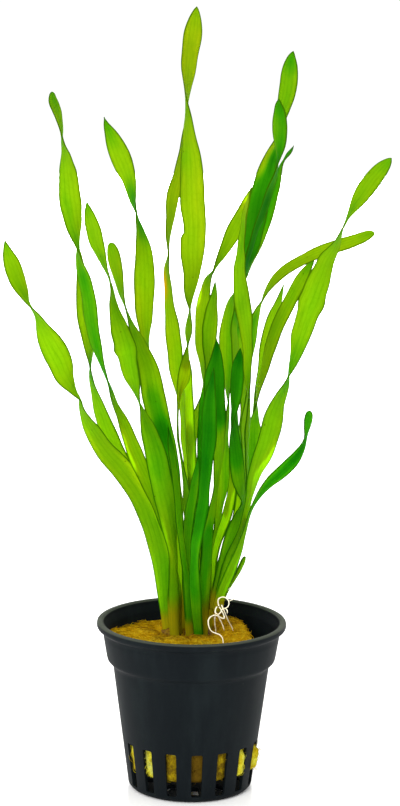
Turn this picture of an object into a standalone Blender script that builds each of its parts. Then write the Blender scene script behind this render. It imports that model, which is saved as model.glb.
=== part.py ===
"""Potted vallisneria: an aquarium plant in a small black net pot packed with rock wool.

Standalone Blender 4.5 script. Metres, +Z up, front of the plant towards -Y. The origin is the
centre of the pot's underside. Sizes below are in millimetres and are turned to metres by MM.

Every leaf is one thin ribbon that twists as it climbs. Its points were measured on an upright
plane through the pot's axis, as the plant looks from EYE. A point that lies nearer or further
than that plane slides along the line of sight from EYE, so the look from the front stays put
while the leaves are fanned out in depth.
"""
import math
from dataclasses import dataclass

import bmesh
import bpy
from mathutils import Matrix, Vector

MM = 0.001

# Pot, a five-centimetre net pot moulded in one piece
POT_HEIGHT = 49.5
POT_WALL = 1.1
POT_FLOOR = 1.2
RIM_RADIUS = 27.5
COLLAR_TOP_RADIUS = 25.5
COLLAR_FOOT_RADIUS = 24.5
COLLAR_FOOT_HEIGHT = 38.8
BODY_TOP_RADIUS = 22.7
BODY_TOP_HEIGHT = 36.4
BODY_FOOT_RADIUS = 18.0
BODY_FOOT_HEIGHT = 1.0
POT_FACETS = 48

# Slots round the foot of the pot and vents through its floor
SLOT_COUNT = 16
SLOT_FIRST_ANGLE = math.radians(6.1)
SLOT_WIDTH_TOP = 3.3
SLOT_WIDTH_FOOT = 3.0
SLOT_FOOT = 1.7
SLOT_TOP = 14.8
VENT_COUNT = 8
VENT_WIDTH = 3.0
VENT_INNER_RADIUS = 7.5
VENT_OUTER_RADIUS = 14.5

# Rock wool plug, pressed short of the pot's wall on its right
WOOL_FOOT = 6.4
WOOL_TOP = 45.0
WOOL_GAP = 0.4
WOOL_TOP_RADIUS = 23.0
WOOL_FACETS = 32
WOOL_NOTCH_DEPTH = 6.4
WOOL_NOTCH_ANGLE = math.radians(5)
WOOL_NOTCH_SPREAD = math.radians(42)
WOOL_NOTCH_FROM = 24.0
WOOL_NOTCH_FULL = 38.0
BED_CENTRE = (-1.6, 7.8)
BED_RADII = (10.4, 9.4)
BED_FLOOR = 41.0

# Leaves and roots
EYE = Vector((1.7, -786.0, 262.3))
BED_FOOT = 44.6
RAISED_FOOT = 53.6
LEAF_THICKNESS = 0.42
LEAF_FOOT_WIDTH = 3.6
LEAF_FOOT_LENGTH = 28.0
ROOT_RADIUS = 0.28


def linear(hex_colour):
    """Turn an sRGB hex colour into Blender's linear RGBA."""
    channels = [int(hex_colour[i:i + 2], 16) / 255 for i in (1, 3, 5)]
    return tuple(c / 12.92 if c <= 0.04045 else ((c + 0.055) / 1.055) ** 2.4 for c in channels) + (1.0,)


def material(name, hex_colour, roughness):
    """A plain Principled material, shared by every piece of the same stuff."""
    found = bpy.data.materials.get(name)
    if found:
        return found
    made = bpy.data.materials.new(name)
    made.use_nodes = True
    shader = made.node_tree.nodes["Principled BSDF"]
    shader.inputs["Base Color"].default_value = linear(hex_colour)
    shader.inputs["Roughness"].default_value = roughness
    return made


def smoothstep(low, high, value):
    t = min(max((value - low) / (high - low), 0.0), 1.0)
    return t * t * (3 - 2 * t)


def add_object(name, mesh, collection, stuff=None):
    """Put a mesh in a collection as one named object, with its material."""
    made = bpy.data.objects.new(name, mesh)
    collection.objects.link(made)
    if stuff:
        made.data.materials.append(stuff)
    return made


def turned(name, profile, facets, collection, stuff):
    """Turn a profile of (radius, height) points in mm about Z with a Screw modifier."""
    mesh = bpy.data.meshes.new(name)
    points = [(radius * MM, 0, height * MM) for radius, height in profile]
    mesh.from_pydata(points, [(i, i + 1) for i in range(len(points) - 1)], [])
    made = add_object(name, mesh, collection, stuff)
    screw = made.modifiers.new("Turn", "SCREW")
    screw.steps = facets
    screw.render_steps = facets
    screw.use_smooth_shade = False
    screw.use_merge_vertices = True
    screw.merge_threshold = 0.00005
    return made


def body_radius(height):
    """Outer radius of the pot's tapered body at a height in mm."""
    share = (height - BODY_FOOT_HEIGHT) / (BODY_TOP_HEIGHT - BODY_FOOT_HEIGHT)
    return BODY_FOOT_RADIUS + (BODY_TOP_RADIUS - BODY_FOOT_RADIUS) * share


def pot_profile():
    """Wall section of the pot: inner floor, inner wall, rim, outer wall, underside."""
    inner_step = BODY_TOP_HEIGHT + 0.2
    inner_collar = COLLAR_FOOT_HEIGHT + 0.4
    inner = [
        (0, POT_FLOOR),
        (body_radius(POT_FLOOR) - POT_WALL - 0.5, POT_FLOOR),
        (body_radius(POT_FLOOR + 0.6) - POT_WALL, POT_FLOOR + 0.6),
        (BODY_TOP_RADIUS - POT_WALL, inner_step),
        (COLLAR_FOOT_RADIUS - POT_WALL, inner_collar),
        (COLLAR_TOP_RADIUS - POT_WALL, 46.2),
        (COLLAR_TOP_RADIUS - 0.2, 48.4),
        (COLLAR_TOP_RADIUS + 0.1, 49.1),
    ]
    rim = [
        (COLLAR_TOP_RADIUS + 0.6, POT_HEIGHT),
        (RIM_RADIUS - 0.7, POT_HEIGHT),
        (RIM_RADIUS - 0.1, 49.0),
        (RIM_RADIUS, 48.4),
        (RIM_RADIUS - 0.2, 47.7),
        (RIM_RADIUS - 0.8, 47.1),
    ]
    outer = [
        (COLLAR_TOP_RADIUS + 0.3, 46.1),
        (COLLAR_TOP_RADIUS, 44.7),
        (COLLAR_FOOT_RADIUS, COLLAR_FOOT_HEIGHT),
        (COLLAR_FOOT_RADIUS - 0.8, 37.6),
        (BODY_TOP_RADIUS, BODY_TOP_HEIGHT),
        (BODY_FOOT_RADIUS, BODY_FOOT_HEIGHT),
        (BODY_FOOT_RADIUS - 0.3, 0.3),
        (BODY_FOOT_RADIUS - 0.9, 0),
        (0, 0),
    ]
    return inner + rim + outer


def front_angle(index, count, first):
    """Angle about Z of one of a ring of openings, counted from the front towards the right."""
    return first + index * 2 * math.pi / count


def ring_of_boxes(name, count, first, inner, outer, low, high, width_low, width_high, collection):
    """One cutter of tapered boxes standing in a ring, each pointing away from the axis."""
    mesh = bpy.data.meshes.new(name)
    cutter = bmesh.new()
    for index in range(count):
        made = bmesh.ops.create_cube(cutter, size=1.0)["verts"]
        turn = Matrix.Rotation(front_angle(index, count, first), 4, "Z")
        for vert in made:
            width = width_high if vert.co.z > 0 else width_low
            along = outer if vert.co.y < 0 else inner
            height = high if vert.co.z > 0 else low
            vert.co = turn @ Vector((vert.co.x * width * MM, -along * MM, height * MM))
    cutter.to_mesh(mesh)
    cutter.free()
    made = add_object(name, mesh, collection)
    made.hide_render = True
    made.display_type = "WIRE"
    return made


def build_pot(parts, cutters):
    """The net pot: a turned wall cut by side slots and floor vents."""
    plastic = material("moulded_black_plastic", "#23282B", 0.55)
    pot = turned("net_pot", pot_profile(), POT_FACETS, parts, plastic)
    slots = ring_of_boxes("slot_cutter", SLOT_COUNT, SLOT_FIRST_ANGLE, 15.0, 24.0, SLOT_FOOT, SLOT_TOP,
                          SLOT_WIDTH_FOOT, SLOT_WIDTH_TOP, cutters)
    vents = ring_of_boxes("vent_cutter", VENT_COUNT, SLOT_FIRST_ANGLE, VENT_INNER_RADIUS,
                          VENT_OUTER_RADIUS, -1.0, POT_FLOOR + 1.0, VENT_WIDTH, VENT_WIDTH, cutters)
    for cutter in (slots, vents):
        cut = pot.modifiers.new(cutter.name, "BOOLEAN")
        cut.object = cutter
        cut.operation = "DIFFERENCE"
        cut.solver = "EXACT"


def in_bed(across, back):
    """How far inside the hollow for the leaf feet a spot of the wool is, from 0 to 1."""
    away = math.hypot((across - BED_CENTRE[0]) / BED_RADII[0], (back - BED_CENTRE[1]) / BED_RADII[1])
    return 1 - smoothstep(0.86, 1.12, away)


def wool_height(across, back):
    """Height of the wool's uneven top in mm: higher at the left, a mound at the right."""
    left_rise = 1.1 * math.exp(-((across + 18) ** 2 + (back - 3) ** 2) / 90)
    right_mound = 0.6 * math.exp(-((across - 12) ** 2 + (back - 8) ** 2) / 40)
    ripple = 0.35 * math.sin(0.55 * across + 1.0) * math.cos(0.48 * back)
    top = WOOL_TOP + left_rise + right_mound + ripple
    return top + (BED_FLOOR - top) * in_bed(across, back)


def wool_notch(angle, height):
    """How far in mm the wool stands short of the wall, at an angle about Z from +X."""
    off = math.remainder(angle - WOOL_NOTCH_ANGLE, 2 * math.pi) / WOOL_NOTCH_SPREAD
    return WOOL_NOTCH_DEPTH * math.exp(-off ** 4) * smoothstep(WOOL_NOTCH_FROM, WOOL_NOTCH_FULL, height)


def wool_profile():
    """The wool turned true: top from the axis out, side down, bottom back to the axis."""
    body_gap = POT_WALL + WOOL_GAP
    top = [(radius, WOOL_TOP) for radius in (0, 4, 7.5, 10.5, 13.5, 16.5, 19.5)]
    side = [
        (WOOL_TOP_RADIUS - 0.5, WOOL_TOP),
        (WOOL_TOP_RADIUS, WOOL_TOP - 1.4),
        (COLLAR_FOOT_RADIUS - body_gap - 0.1, COLLAR_FOOT_HEIGHT + 0.9),
        (BODY_TOP_RADIUS - body_gap, BODY_TOP_HEIGHT + 0.5),
        (body_radius(22) - body_gap, 22),
        (body_radius(WOOL_FOOT + 1) - body_gap, WOOL_FOOT + 1),
        (body_radius(WOOL_FOOT) - body_gap - 1.2, WOOL_FOOT),
        (0, WOOL_FOOT),
    ]
    return top + side


def build_wool(parts):
    """The rock wool plug: a turned block pressed in on the right and hollowed for the leaves."""
    fibre = material("rock_wool_fibre", "#B39320", 0.95)
    wool = turned("rock_wool", wool_profile(), WOOL_FACETS, parts, fibre)
    shape = bpy.data.meshes.new_from_object(wool.evaluated_get(bpy.context.evaluated_depsgraph_get()))
    wool.modifiers.clear()
    wool.data = shape
    for vert in shape.vertices:
        across, back, height = (c / MM for c in vert.co)
        radius = math.hypot(across, back)
        if radius > 1:
            pressed = radius - wool_notch(math.atan2(back, across), height) * radius / WOOL_TOP_RADIUS
            across *= pressed / radius
            back *= pressed / radius
        if height > WOOL_TOP - 0.1:
            height = wool_height(across, back)
        vert.co = Vector((across, back, height)) * MM


def build_crown(name, centre, radii, parts):
    """A squat crown, the short stem that a plantlet's leaves and roots grow from."""
    mesh = bpy.data.meshes.new(name)
    crown = bmesh.new()
    bmesh.ops.create_uvsphere(crown, u_segments=12, v_segments=6, radius=1.0)
    for vert in crown.verts:
        vert.co = Vector([(c + r * v) * MM for c, r, v in zip(centre, radii, vert.co)])
    crown.to_mesh(mesh)
    crown.free()
    add_object(name, mesh, parts, material("crown_flesh", "#C9C98A", 0.6)).data.shade_smooth()


def from_eye(across, up, depth):
    """The point behind (across, up) on the upright plane, depth mm further back along the sight line."""
    on_plane = Vector((across, 0, up))
    return EYE + (on_plane - EYE) * (1 + depth / -EYE.y)


def seen_height(height, depth):
    """Where on the upright plane a point of a real height shows, when it lies at a depth."""
    return EYE.z + (height - EYE.z) / (1 + depth / -EYE.y)


@dataclass
class Leaf:
    """One ribbon leaf, from its foot to its tip, in millimetres and degrees.

    depth gives how far back the foot, the first quarter, the middle and the tip lie. Each point
    is (across, up, turn) on the upright plane: turn 0 faces the eye, 90 is seen edge on, and each
    further 180 is another half twist.
    """
    name: str
    width: float
    tip_length: float
    bluntness: float
    foot_height: float
    depth: tuple
    points: tuple

    def depth_at(self, share):
        """Depth on a smooth bend through the foot, the first quarter, the middle and the tip."""
        stops = (0, 0.25, 0.5, 1)
        depth = 0.0
        for stop, value in zip(stops, self.depth):
            for other in stops:
                if other != stop:
                    value *= (share - other) / (stop - other)
            depth += value
        return depth

    def stations(self):
        """Centre points from foot to tip, with the foot set at its real height."""
        foot_up = seen_height(self.foot_height, self.depth[0])
        flat = [Vector((self.points[0][0], foot_up))] + [Vector(p[:2]) for p in self.points[1:]]
        run = [0.0]
        for before, after in zip(flat, flat[1:]):
            run.append(run[-1] + (after - before).length)
        return [from_eye(p.x, p.y, self.depth_at(s / run[-1])) for p, s in zip(flat, run)]

    def width_at(self, along, length):
        """Width in mm: narrow at the foot, full along the blade, drawn in over the tip."""
        to_tip = min((length - along) / self.tip_length, 1.0)
        tip_shape = (1 - (1 - to_tip) ** (1.6 + 0.4 * self.bluntness)) ** (1 - 0.5 * self.bluntness)
        foot_width = min(LEAF_FOOT_WIDTH, self.width * 0.8)
        blade = foot_width + (self.width - foot_width) * smoothstep(0, LEAF_FOOT_LENGTH, along)
        return blade * max(tip_shape, 0.06)

    def build(self, parts):
        """Loft a closed ribbon of constant thickness through the stations."""
        centres = self.stations()
        along = [0.0]
        for before, after in zip(centres, centres[1:]):
            along.append(along[-1] + (after - before).length)
        last = len(centres) - 1
        ribbon = bmesh.new()
        rings = []
        for i, centre in enumerate(centres):
            ahead = (centres[min(i + 1, last)] - centres[max(i - 1, 0)]).normalized()
            side = ahead.cross((EYE - centre).normalized()).normalized()
            side.rotate(Matrix.Rotation(-math.radians(self.points[i][2]), 3, ahead))
            half = side * self.width_at(along[i], along[-1]) / 2
            skin = side.cross(ahead) * LEAF_THICKNESS / 2
            corners = (skin - half, skin + half, half - skin, -half - skin)
            rings.append([ribbon.verts.new((centre + corner) * MM) for corner in corners])
        for (a, b, c, d), (e, f, g, h) in zip(rings, rings[1:]):
            for face in ((a, b, f), (a, f, e), (d, g, c), (d, h, g)):
                ribbon.faces.new(face)
            for face in ((b, c, g), (b, g, f), (a, h, d), (a, e, h)):
                ribbon.faces.new(face)
        ribbon.faces.new(list(reversed(rings[0])))
        ribbon.faces.new(rings[-1])
        bmesh.ops.recalc_face_normals(ribbon, faces=ribbon.faces)
        mesh = bpy.data.meshes.new(self.name)
        ribbon.to_mesh(mesh)
        ribbon.free()
        add_object(self.name, mesh, parts, material("leaf_blade", "#5FA80C", 0.4)).data.shade_flat()


LEAVES = (
    Leaf("leaf_tallest", 7.4, 15, 0.35, BED_FOOT, (8.6, 4.5, 7.2, 16.1), (
        (1.8, 44.7, 14), (1.3, 57, 32), (0.2, 70.4, 60), (-1.4, 83.7, 70), (-3.1, 95.5, 85),
        (-4.3, 102.8, 88), (-4.6, 111.5, 92), (-4.2, 116.8, 102), (-2.9, 121.4, 120), (-2.4, 126.7, 105),
        (-2.1, 130.4, 90), (-1.8, 133.9, 75), (-1.7, 140.5, 90), (-1.7, 144.2, 110), (-1, 150.5, 130),
        (-0.9, 157.7, 162), (-0.7, 164.8, 180), (-1.1, 171.9, 190), (-1.4, 181.8, 212),
        (-1.9, 188.8, 235), (-2.5, 195, 255), (-2.7, 199.2, 270), (-2.7, 203.4, 287), (-2.4, 208.4, 304),
        (-1.9, 214.5, 314), (-1.2, 220.1, 330), (-0.4, 226, 330))),
    Leaf("leaf_tall_left", 5.7, 14, 0, BED_FOOT, (14.9, 21.8, 21.9, 25.5), (
        (1.2, 44.4, 194), (0.9, 55.5, 204), (0.5, 67.4, 225), (-0.2, 79.3, 230), (-0.9, 90.5, 236),
        (-1.7, 96.9, 242), (-2.5, 102.8, 248), (-2.9, 108.6, 252), (-3.4, 113.9, 245),
        (-4.3, 118.5, 230), (-5.2, 123.7, 222), (-5.6, 128.9, 218), (-6.3, 134.1, 220),
        (-7.1, 140.4, 235), (-7.6, 146.2, 244), (-8, 151.9, 254), (-7.8, 155.9, 270), (-7.9, 160.5, 282),
        (-7.2, 167.6, 298), (-6.2, 174.1, 314), (-4.8, 180.3, 303), (-4.1, 186, 292), (-3.5, 191.6, 290),
        (-3.1, 195, 290))),
    Leaf("leaf_far_left", 7.4, 13, 0, BED_FOOT, (7.3, 8, 3.7, -8), (
        (-7, 45.5, 14), (-7.9, 55.4, 17), (-8.9, 67.3, 28), (-11.4, 77.4, 28), (-15.8, 87.7, 26),
        (-21, 94.7, 28), (-25.1, 99.3, 38), (-28.4, 104.3, 52), (-30.6, 108.3, 66), (-32, 111.8, 79),
        (-32.7, 114.6, 90), (-33.7, 116.1, 99), (-35.2, 118.6, 116), (-36.9, 121.5, 147),
        (-38.3, 125.1, 165), (-40.4, 129.5, 195), (-42.4, 133.7, 225), (-44.9, 138.6, 258),
        (-46.7, 141, 270), (-48.1, 144, 290), (-49.9, 147.7, 310), (-51.4, 151.4, 322),
        (-53, 155.7, 340), (-54.1, 160.1, 350))),
    Leaf("leaf_left_high", 6.3, 5, 1, BED_FOOT, (6.1, 1.7, -4.3, -25.5), (
        (-4, 45, 166), (-4.4, 54, 153), (-4.9, 61.4, 120), (-5.9, 68.6, 102), (-7.1, 74.2, 108),
        (-8.8, 79.8, 117), (-10.8, 85.1, 126), (-13.3, 90.9, 132), (-15.7, 96.2, 134),
        (-17.8, 101.2, 132), (-19.4, 105.5, 126), (-21, 109.6, 116), (-22.3, 112.5, 108),
        (-23.6, 116.3, 98), (-24.9, 120.3, 88), (-26.1, 123.5, 80), (-27.1, 126.4, 72), (-28.3, 131, 62),
        (-29.4, 137.3, 51), (-30.1, 143, 48), (-31.4, 148.8, 56), (-32.7, 153.9, 72), (-33.2, 157.6, 90),
        (-33.4, 159.6, 106), (-34.1, 163, 127), (-35, 167.8, 154), (-35.6, 172.1, 190),
        (-35.9, 176.6, 210), (-36.3, 181.4, 229), (-36.7, 184.8, 246), (-37.2, 187, 258),
        (-37.5, 189.5, 270), (-38.2, 193.2, 282), (-38.8, 195.4, 292), (-39.6, 197.4, 296),
        (-40.6, 199.6, 298), (-41.1, 201.7, 298))),
    Leaf("leaf_left_mid", 6.9, 11, 0, BED_FOOT, (10.7, 11.9, 12.6, 13), (
        (-5.9, 45.2, 14), (-6.6, 53.9, 25), (-7.2, 61.4, 49), (-8.6, 68.8, 56), (-10.8, 76.2, 50),
        (-13.8, 82.7, 46), (-16.7, 88.5, 44), (-19.9, 94.4, 42), (-22.2, 99.1, 42), (-24.4, 104, 44),
        (-26, 108.9, 50), (-27.3, 112.7, 58), (-28.4, 116.5, 70), (-29.2, 120, 82), (-29.6, 122.6, 90),
        (-29.8, 126.6, 106), (-30.1, 131.5, 124), (-30.5, 137.3, 144), (-31, 143, 150),
        (-31.9, 148.8, 128), (-32.8, 153.9, 106), (-33.5, 158.2, 90), (-34.3, 160.7, 83),
        (-35.2, 163.3, 76), (-36, 165.8, 74), (-36.9, 167.9, 70))),
    Leaf("leaf_left_broad", 6.6, 14, 0, BED_FOOT, (13.8, 17.8, 18.9, 35.4), (
        (-1.9, 44.4, 166), (-2.6, 57, 148), (-3.9, 70.4, 128), (-5.7, 83.7, 126), (-7.8, 95.4, 126),
        (-9.9, 105.6, 124), (-11.7, 115.8, 118), (-12.9, 123.6, 110), (-13.7, 128.8, 106),
        (-14.2, 133.2, 118), (-14.4, 138.1, 134), (-14.4, 143.2, 150), (-14.4, 149, 162),
        (-14.6, 154.7, 150), (-15, 158.9, 130), (-15.6, 162.6, 113), (-16.4, 165.8, 98),
        (-16.7, 167.6, 90), (-17.5, 171.1, 77), (-18.3, 174.5, 64), (-19.1, 177.9, 48), (-20.3, 181, 32),
        (-21.7, 184.4, 20), (-23.1, 187.7, 8), (-24.3, 190.5, 0), (-25.4, 192.8, 0), (-26.1, 195, 0))),
    Leaf("leaf_left_inner", 6.6, 13, 0, BED_FOOT, (3, -1.2, -4.4, -25.3), (
        (-4.9, 45, 346), (-5.3, 54, 332), (-5.5, 62, 300), (-5.7, 69.7, 295), (-6.5, 76.3, 312),
        (-7.4, 82.2, 330), (-8.6, 88, 345), (-9.7, 93.3, 350), (-10.7, 98, 342), (-11.9, 102.1, 325),
        (-13.1, 105.6, 311), (-14.4, 109.1, 293), (-15.7, 113.3, 270), (-16.7, 116.6, 255),
        (-17.5, 119.5, 237), (-18.4, 123, 222), (-19.2, 127, 210), (-20.3, 131.1, 153),
        (-21.6, 135.1, 141), (-22.9, 139.4, 123), (-23.6, 143.1, 108), (-23.9, 146.6, 94),
        (-24.3, 148.8, 90), (-25.8, 152.5, 76), (-26.9, 155.7, 66), (-28.1, 159.4, 53),
        (-28.9, 163.1, 46), (-29.8, 166.7, 34), (-30.5, 169.6, 25), (-30.9, 171.4, 20))),
    Leaf("leaf_left_short", 7.2, 6, 1, BED_FOOT, (13.1, 12.6, 9, 6.1), (
        (-0.7, 44.4, 166), (-1.4, 58.5, 132), (-2.3, 70.4, 108), (-3.4, 77.8, 106), (-4.4, 85.1, 112),
        (-5.5, 92.5, 124), (-7, 98.4, 140), (-8.8, 104.2, 147), (-10.3, 110, 157), (-11.6, 115.8, 163),
        (-12.5, 120.7, 151), (-13.8, 125.4, 136), (-15.3, 129.1, 123), (-16.7, 132.8, 113),
        (-18.2, 136.3, 105), (-19.1, 138.9, 96), (-19.8, 141.2, 90), (-20.6, 144, 80),
        (-21.3, 146.9, 71), (-22.1, 150.3, 62), (-22.8, 154, 57), (-23.5, 157.4, 54), (-24.1, 159.6, 50))),
    Leaf("leaf_centre_strip", 5.2, 9, 0, BED_FOOT, (9.7, 7.7, 4.8, 18.9), (
        (1.9, 44.4, 14), (1.2, 61.5, 50), (0.4, 76.3, 60), (-0.2, 91.1, 60), (-0.6, 101.4, 58),
        (-1.1, 108.7, 58), (-1.5, 114.5, 60), (-1.7, 118.8, 60), (-1.9, 123.8, 62), (-2.1, 128.4, 70))),
    Leaf("leaf_right_high", 6.3, 11, 0, BED_FOOT, (12.3, 12.6, 12.5, 5.8), (
        (4.7, 45.7, 166), (4.9, 54.1, 154), (5.3, 63, 117), (6, 70.5, 106), (6.8, 76.4, 108),
        (7.4, 81.7, 114), (7.9, 86.5, 124), (8.2, 91.2, 134), (8.2, 96.5, 132), (8.7, 101.5, 118),
        (9.4, 107.3, 102), (9.7, 113.4, 90), (9.5, 116.9, 76), (9.4, 120.4, 63), (9.5, 124.5, 54),
        (9.3, 128.5, 46), (9.3, 132.6, 42), (9.4, 136.3, 48), (9.7, 139.8, 56), (10.4, 142.7, 66),
        (11.6, 145.2, 78), (13.3, 148.1, 90), (14.4, 151.6, 102), (15.1, 155.6, 122), (15.8, 159.3, 138),
        (16.4, 163.6, 150), (17.1, 167.8, 160), (17.7, 172.1, 160), (18.6, 176.4, 152),
        (19.8, 180.6, 140), (21, 184.9, 122), (22.4, 188.8, 104), (23, 191.9, 86), (23.5, 195.3, 68),
        (24.3, 198.6, 55), (25, 201.4, 48), (25.4, 204.2, 45), (25.7, 207, 45), (26, 209.8, 42),
        (26.3, 212.3, 40), (26.7, 214, 40))),
    Leaf("leaf_right_upper", 5.2, 10, 0.3, RAISED_FOOT, (4.6, 3.4, 1.3, -15.1), (
        (6.9, 54.7, 166), (7.8, 61.6, 160), (9.4, 69, 138), (11.4, 76.5, 118), (13, 83.9, 112),
        (13.6, 91.2, 108), (13.1, 98.6, 106), (12.1, 105.9, 104), (11.7, 113.2, 106), (11.8, 119, 110),
        (11.7, 124.8, 112), (11.4, 130.6, 112), (11.2, 134.9, 110), (11.7, 140.1, 108),
        (12.9, 146.4, 104), (14.3, 153.6, 102), (15.8, 159.3, 106), (17.5, 165, 112), (19.4, 170.7, 114),
        (21, 175.8, 108), (22.4, 180.1, 98), (22.9, 182.9, 88), (23.1, 185.2, 74), (23.2, 187.7, 60),
        (23.2, 191.1, 46), (23.2, 194.1, 39), (23.2, 196.9, 38), (22.9, 199.2, 32), (22.9, 200.6, 30))),
    Leaf("leaf_right_spike", 6.9, 17, 0, RAISED_FOOT, (7, 19.4, 25.6, 33.2), (
        (6.7, 54.4, 166), (7.4, 58, 165), (8.8, 64.6, 147), (10.6, 72, 116), (12.5, 79.4, 104),
        (13.8, 86, 100), (14, 94.2, 102), (13.6, 101.5, 104), (13.7, 107.4, 106), (14, 113.2, 104),
        (14, 118.1, 108), (13.3, 123.4, 116), (12.5, 128.6, 120), (12.2, 133.5, 118), (12.3, 138.4, 110),
        (12.9, 143.5, 98), (13.8, 148.7, 86), (15, 153.6, 74), (16.1, 157.9, 58), (17.2, 161.9, 38),
        (18.2, 165.9, 22), (19.4, 169.9, 24), (20.8, 173.8, 42), (22.3, 177.5, 62), (23.1, 179.8, 72),
        (23.9, 182.1, 80), (24.7, 183.6, 87), (25.8, 185.2, 80), (26.6, 186.3, 78), (27.3, 187.6, 75))),
    Leaf("leaf_far_right", 7.7, 9, 0.6, RAISED_FOOT, (0.1, -10.2, -13.1, -14.9), (
        (7.6, 54.4, 346), (8.3, 57.4, 346), (10, 62.8, 336), (11.6, 68.2, 315), (13.3, 73.5, 294),
        (14.7, 78.9, 286), (15.7, 83.9, 285), (16.7, 88.3, 289), (17.9, 93.1, 299), (19.3, 97.2, 309),
        (20.8, 101.3, 315), (21.9, 105.4, 321), (22.8, 109.5, 318), (23.8, 113.3, 304), (25, 116.5, 292),
        (26.2, 119.4, 279), (26.7, 121.2, 272), (27.2, 123.2, 262), (28.1, 126.1, 251),
        (29.1, 129.3, 240), (30, 132.8, 228), (31.2, 136.8, 219), (32.4, 140.9, 207), (33.6, 144.9, 158),
        (34.8, 148.7, 150), (36, 152.4, 138), (37.2, 155.6, 129), (38.7, 158.1, 116), (40.1, 161, 101),
        (41.2, 163.7, 92), (42.1, 165.6, 86), (43.5, 168.7, 77), (44.8, 171, 66), (46.5, 173.6, 56),
        (48.1, 176.1, 51), (50, 178.7, 50), (51.9, 181, 46), (53.7, 183, 42), (54.8, 184.4, 40))),
    Leaf("leaf_right_leaning", 4.9, 5, 1, RAISED_FOOT, (5.5, 10.3, 12.9, 13.4), (
        (7.2, 54.7, 166), (8, 59.2, 164), (9.8, 66.7, 139), (11.7, 73.5, 111), (13.6, 80.9, 102),
        (15, 87.7, 98), (15, 94.2, 100), (14.4, 100.1, 104), (14.3, 105.3, 112), (14.7, 109.7, 116),
        (15.2, 113.5, 106), (15.5, 117, 97), (15.5, 120.5, 102), (15.6, 124.8, 112), (15.8, 129.2, 120),
        (16.3, 133.5, 124), (17, 137.8, 118), (18, 141.3, 104), (19.4, 144.2, 87), (20.9, 147.1, 73),
        (22.6, 149.7, 60), (24.8, 151.8, 54), (27.6, 153.7, 47), (31, 155.6, 45), (35.2, 157.5, 43),
        (39.4, 159.1, 43), (43.1, 160.3, 43), (46.4, 161.5, 46), (49.2, 162.7, 45), (50.6, 163.1, 45))),
    Leaf("leaf_centre_right", 5.4, 11, 0, RAISED_FOOT, (3.8, 1.9, -2.4, -27.7), (
        (7.6, 55.6, 166), (9.2, 62.2, 159), (11.2, 69, 128), (13.1, 76.5, 99), (14.7, 83.9, 96),
        (15.5, 91.3, 98), (15.2, 98.6, 100), (15.3, 105.9, 100), (15.5, 111.8, 96), (15.4, 115.8, 88),
        (15.2, 119.3, 80), (15.1, 122.8, 68), (15.1, 126.9, 58), (14.9, 131.2, 52), (14.4, 135.5, 44),
        (13.9, 139.8, 34), (13.3, 144.1, 33), (12.8, 148.7, 42), (12.6, 152.7, 48), (12.8, 156.4, 60),
        (13, 159.8, 72), (13.3, 163.5, 77), (13.8, 167.8, 77), (14.8, 172.1, 76), (15.4, 176, 75))),
    Leaf("leaf_right_slanting", 5.7, 11, 0, BED_FOOT, (12.5, 14.4, 16, 25.9), (
        (1.6, 44.1, 346), (1.2, 54, 331), (0.5, 64.5, 298), (0, 74.9, 296), (-0.2, 83.7, 296),
        (-0.3, 91.1, 297), (-0.4, 97, 300), (-0.4, 101.4, 303), (-0.2, 105.2, 303), (0.5, 108.7, 301),
        (1.5, 112.2, 292), (2.3, 115.1, 282), (2.8, 118.3, 270), (2.7, 121.8, 262), (2.5, 125.5, 249),
        (2.1, 129, 236), (1.9, 133.3, 226), (1.9, 137.7, 222), (2.3, 142, 226), (2.9, 146, 238),
        (3.7, 149.2, 252), (5, 151.6, 270), (6.1, 153.9, 280), (7.3, 156.4, 294), (9, 159.8, 312),
        (10.8, 163.5, 324), (12.4, 166.7, 320), (14.1, 169.8, 316), (16.3, 174.1, 308),
        (18.5, 178.3, 300), (19.6, 181.2, 300))),
    Leaf("leaf_right_band", 5.2, 9, 0, RAISED_FOOT, (6.3, 15.3, 23.1, 24.3), (
        (7.2, 55, 166), (7.8, 58.6, 165), (9.6, 65.8, 143), (11.7, 72.6, 111), (13.6, 79.5, 98),
        (15, 84.8, 94), (15.8, 88.9, 96), (16.3, 92.8, 104), (16.9, 96, 120), (17.2, 99.2, 142),
        (17.3, 102.4, 150), (17.3, 105.9, 144), (17.5, 108.9, 124), (17.9, 111.5, 107), (18, 113.8, 90),
        (18.4, 116.7, 78), (19.2, 120.2, 71), (20.2, 124.3, 60), (21.1, 128.4, 53), (22.3, 132.4, 47),
        (23.8, 136.5, 42), (25.6, 140.5, 40), (27.5, 144.6, 38), (29.4, 148.3, 40), (31.3, 151.8, 46),
        (33, 154.6, 45), (33.8, 156.4, 45))),
    Leaf("leaf_right_band_inner", 4.9, 10, 0, RAISED_FOOT, (8.2, 23.9, 29.9, 35.1), (
        (7.5, 55, 346), (8.7, 62.2, 337), (10.6, 68.7, 306), (12.7, 75.6, 280), (14.5, 82.4, 276),
        (15.5, 89.2, 276), (16.1, 95.7, 278), (16.6, 101.6, 278), (17.1, 107.4, 276), (17.6, 112.4, 274),
        (17.9, 116.7, 280), (18.5, 120.5, 292), (19.3, 124.3, 304), (20, 128.1, 312), (20.6, 131.8, 317),
        (21.4, 135.6, 318), (22.5, 139.3, 315), (23.6, 142.8, 304), (24.5, 146, 298), (25.3, 148.8, 300))),
    Leaf("leaf_centre_mid", 4.9, 10, 0, BED_FOOT, (10.9, 8.7, 8.7, -6.3), (
        (2.6, 44.1, 194), (2.4, 55.5, 216), (2.1, 66, 248), (2, 76.4, 250), (2, 85.2, 252),
        (2.4, 91.1, 242), (2.8, 97, 225), (3, 102.9, 215), (3.1, 108.7, 215), (3.2, 113.1, 226),
        (3.3, 116.9, 244), (3.4, 120.3, 262), (3.6, 123.8, 280), (3.8, 126.7, 294), (4, 129.6, 315),
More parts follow.
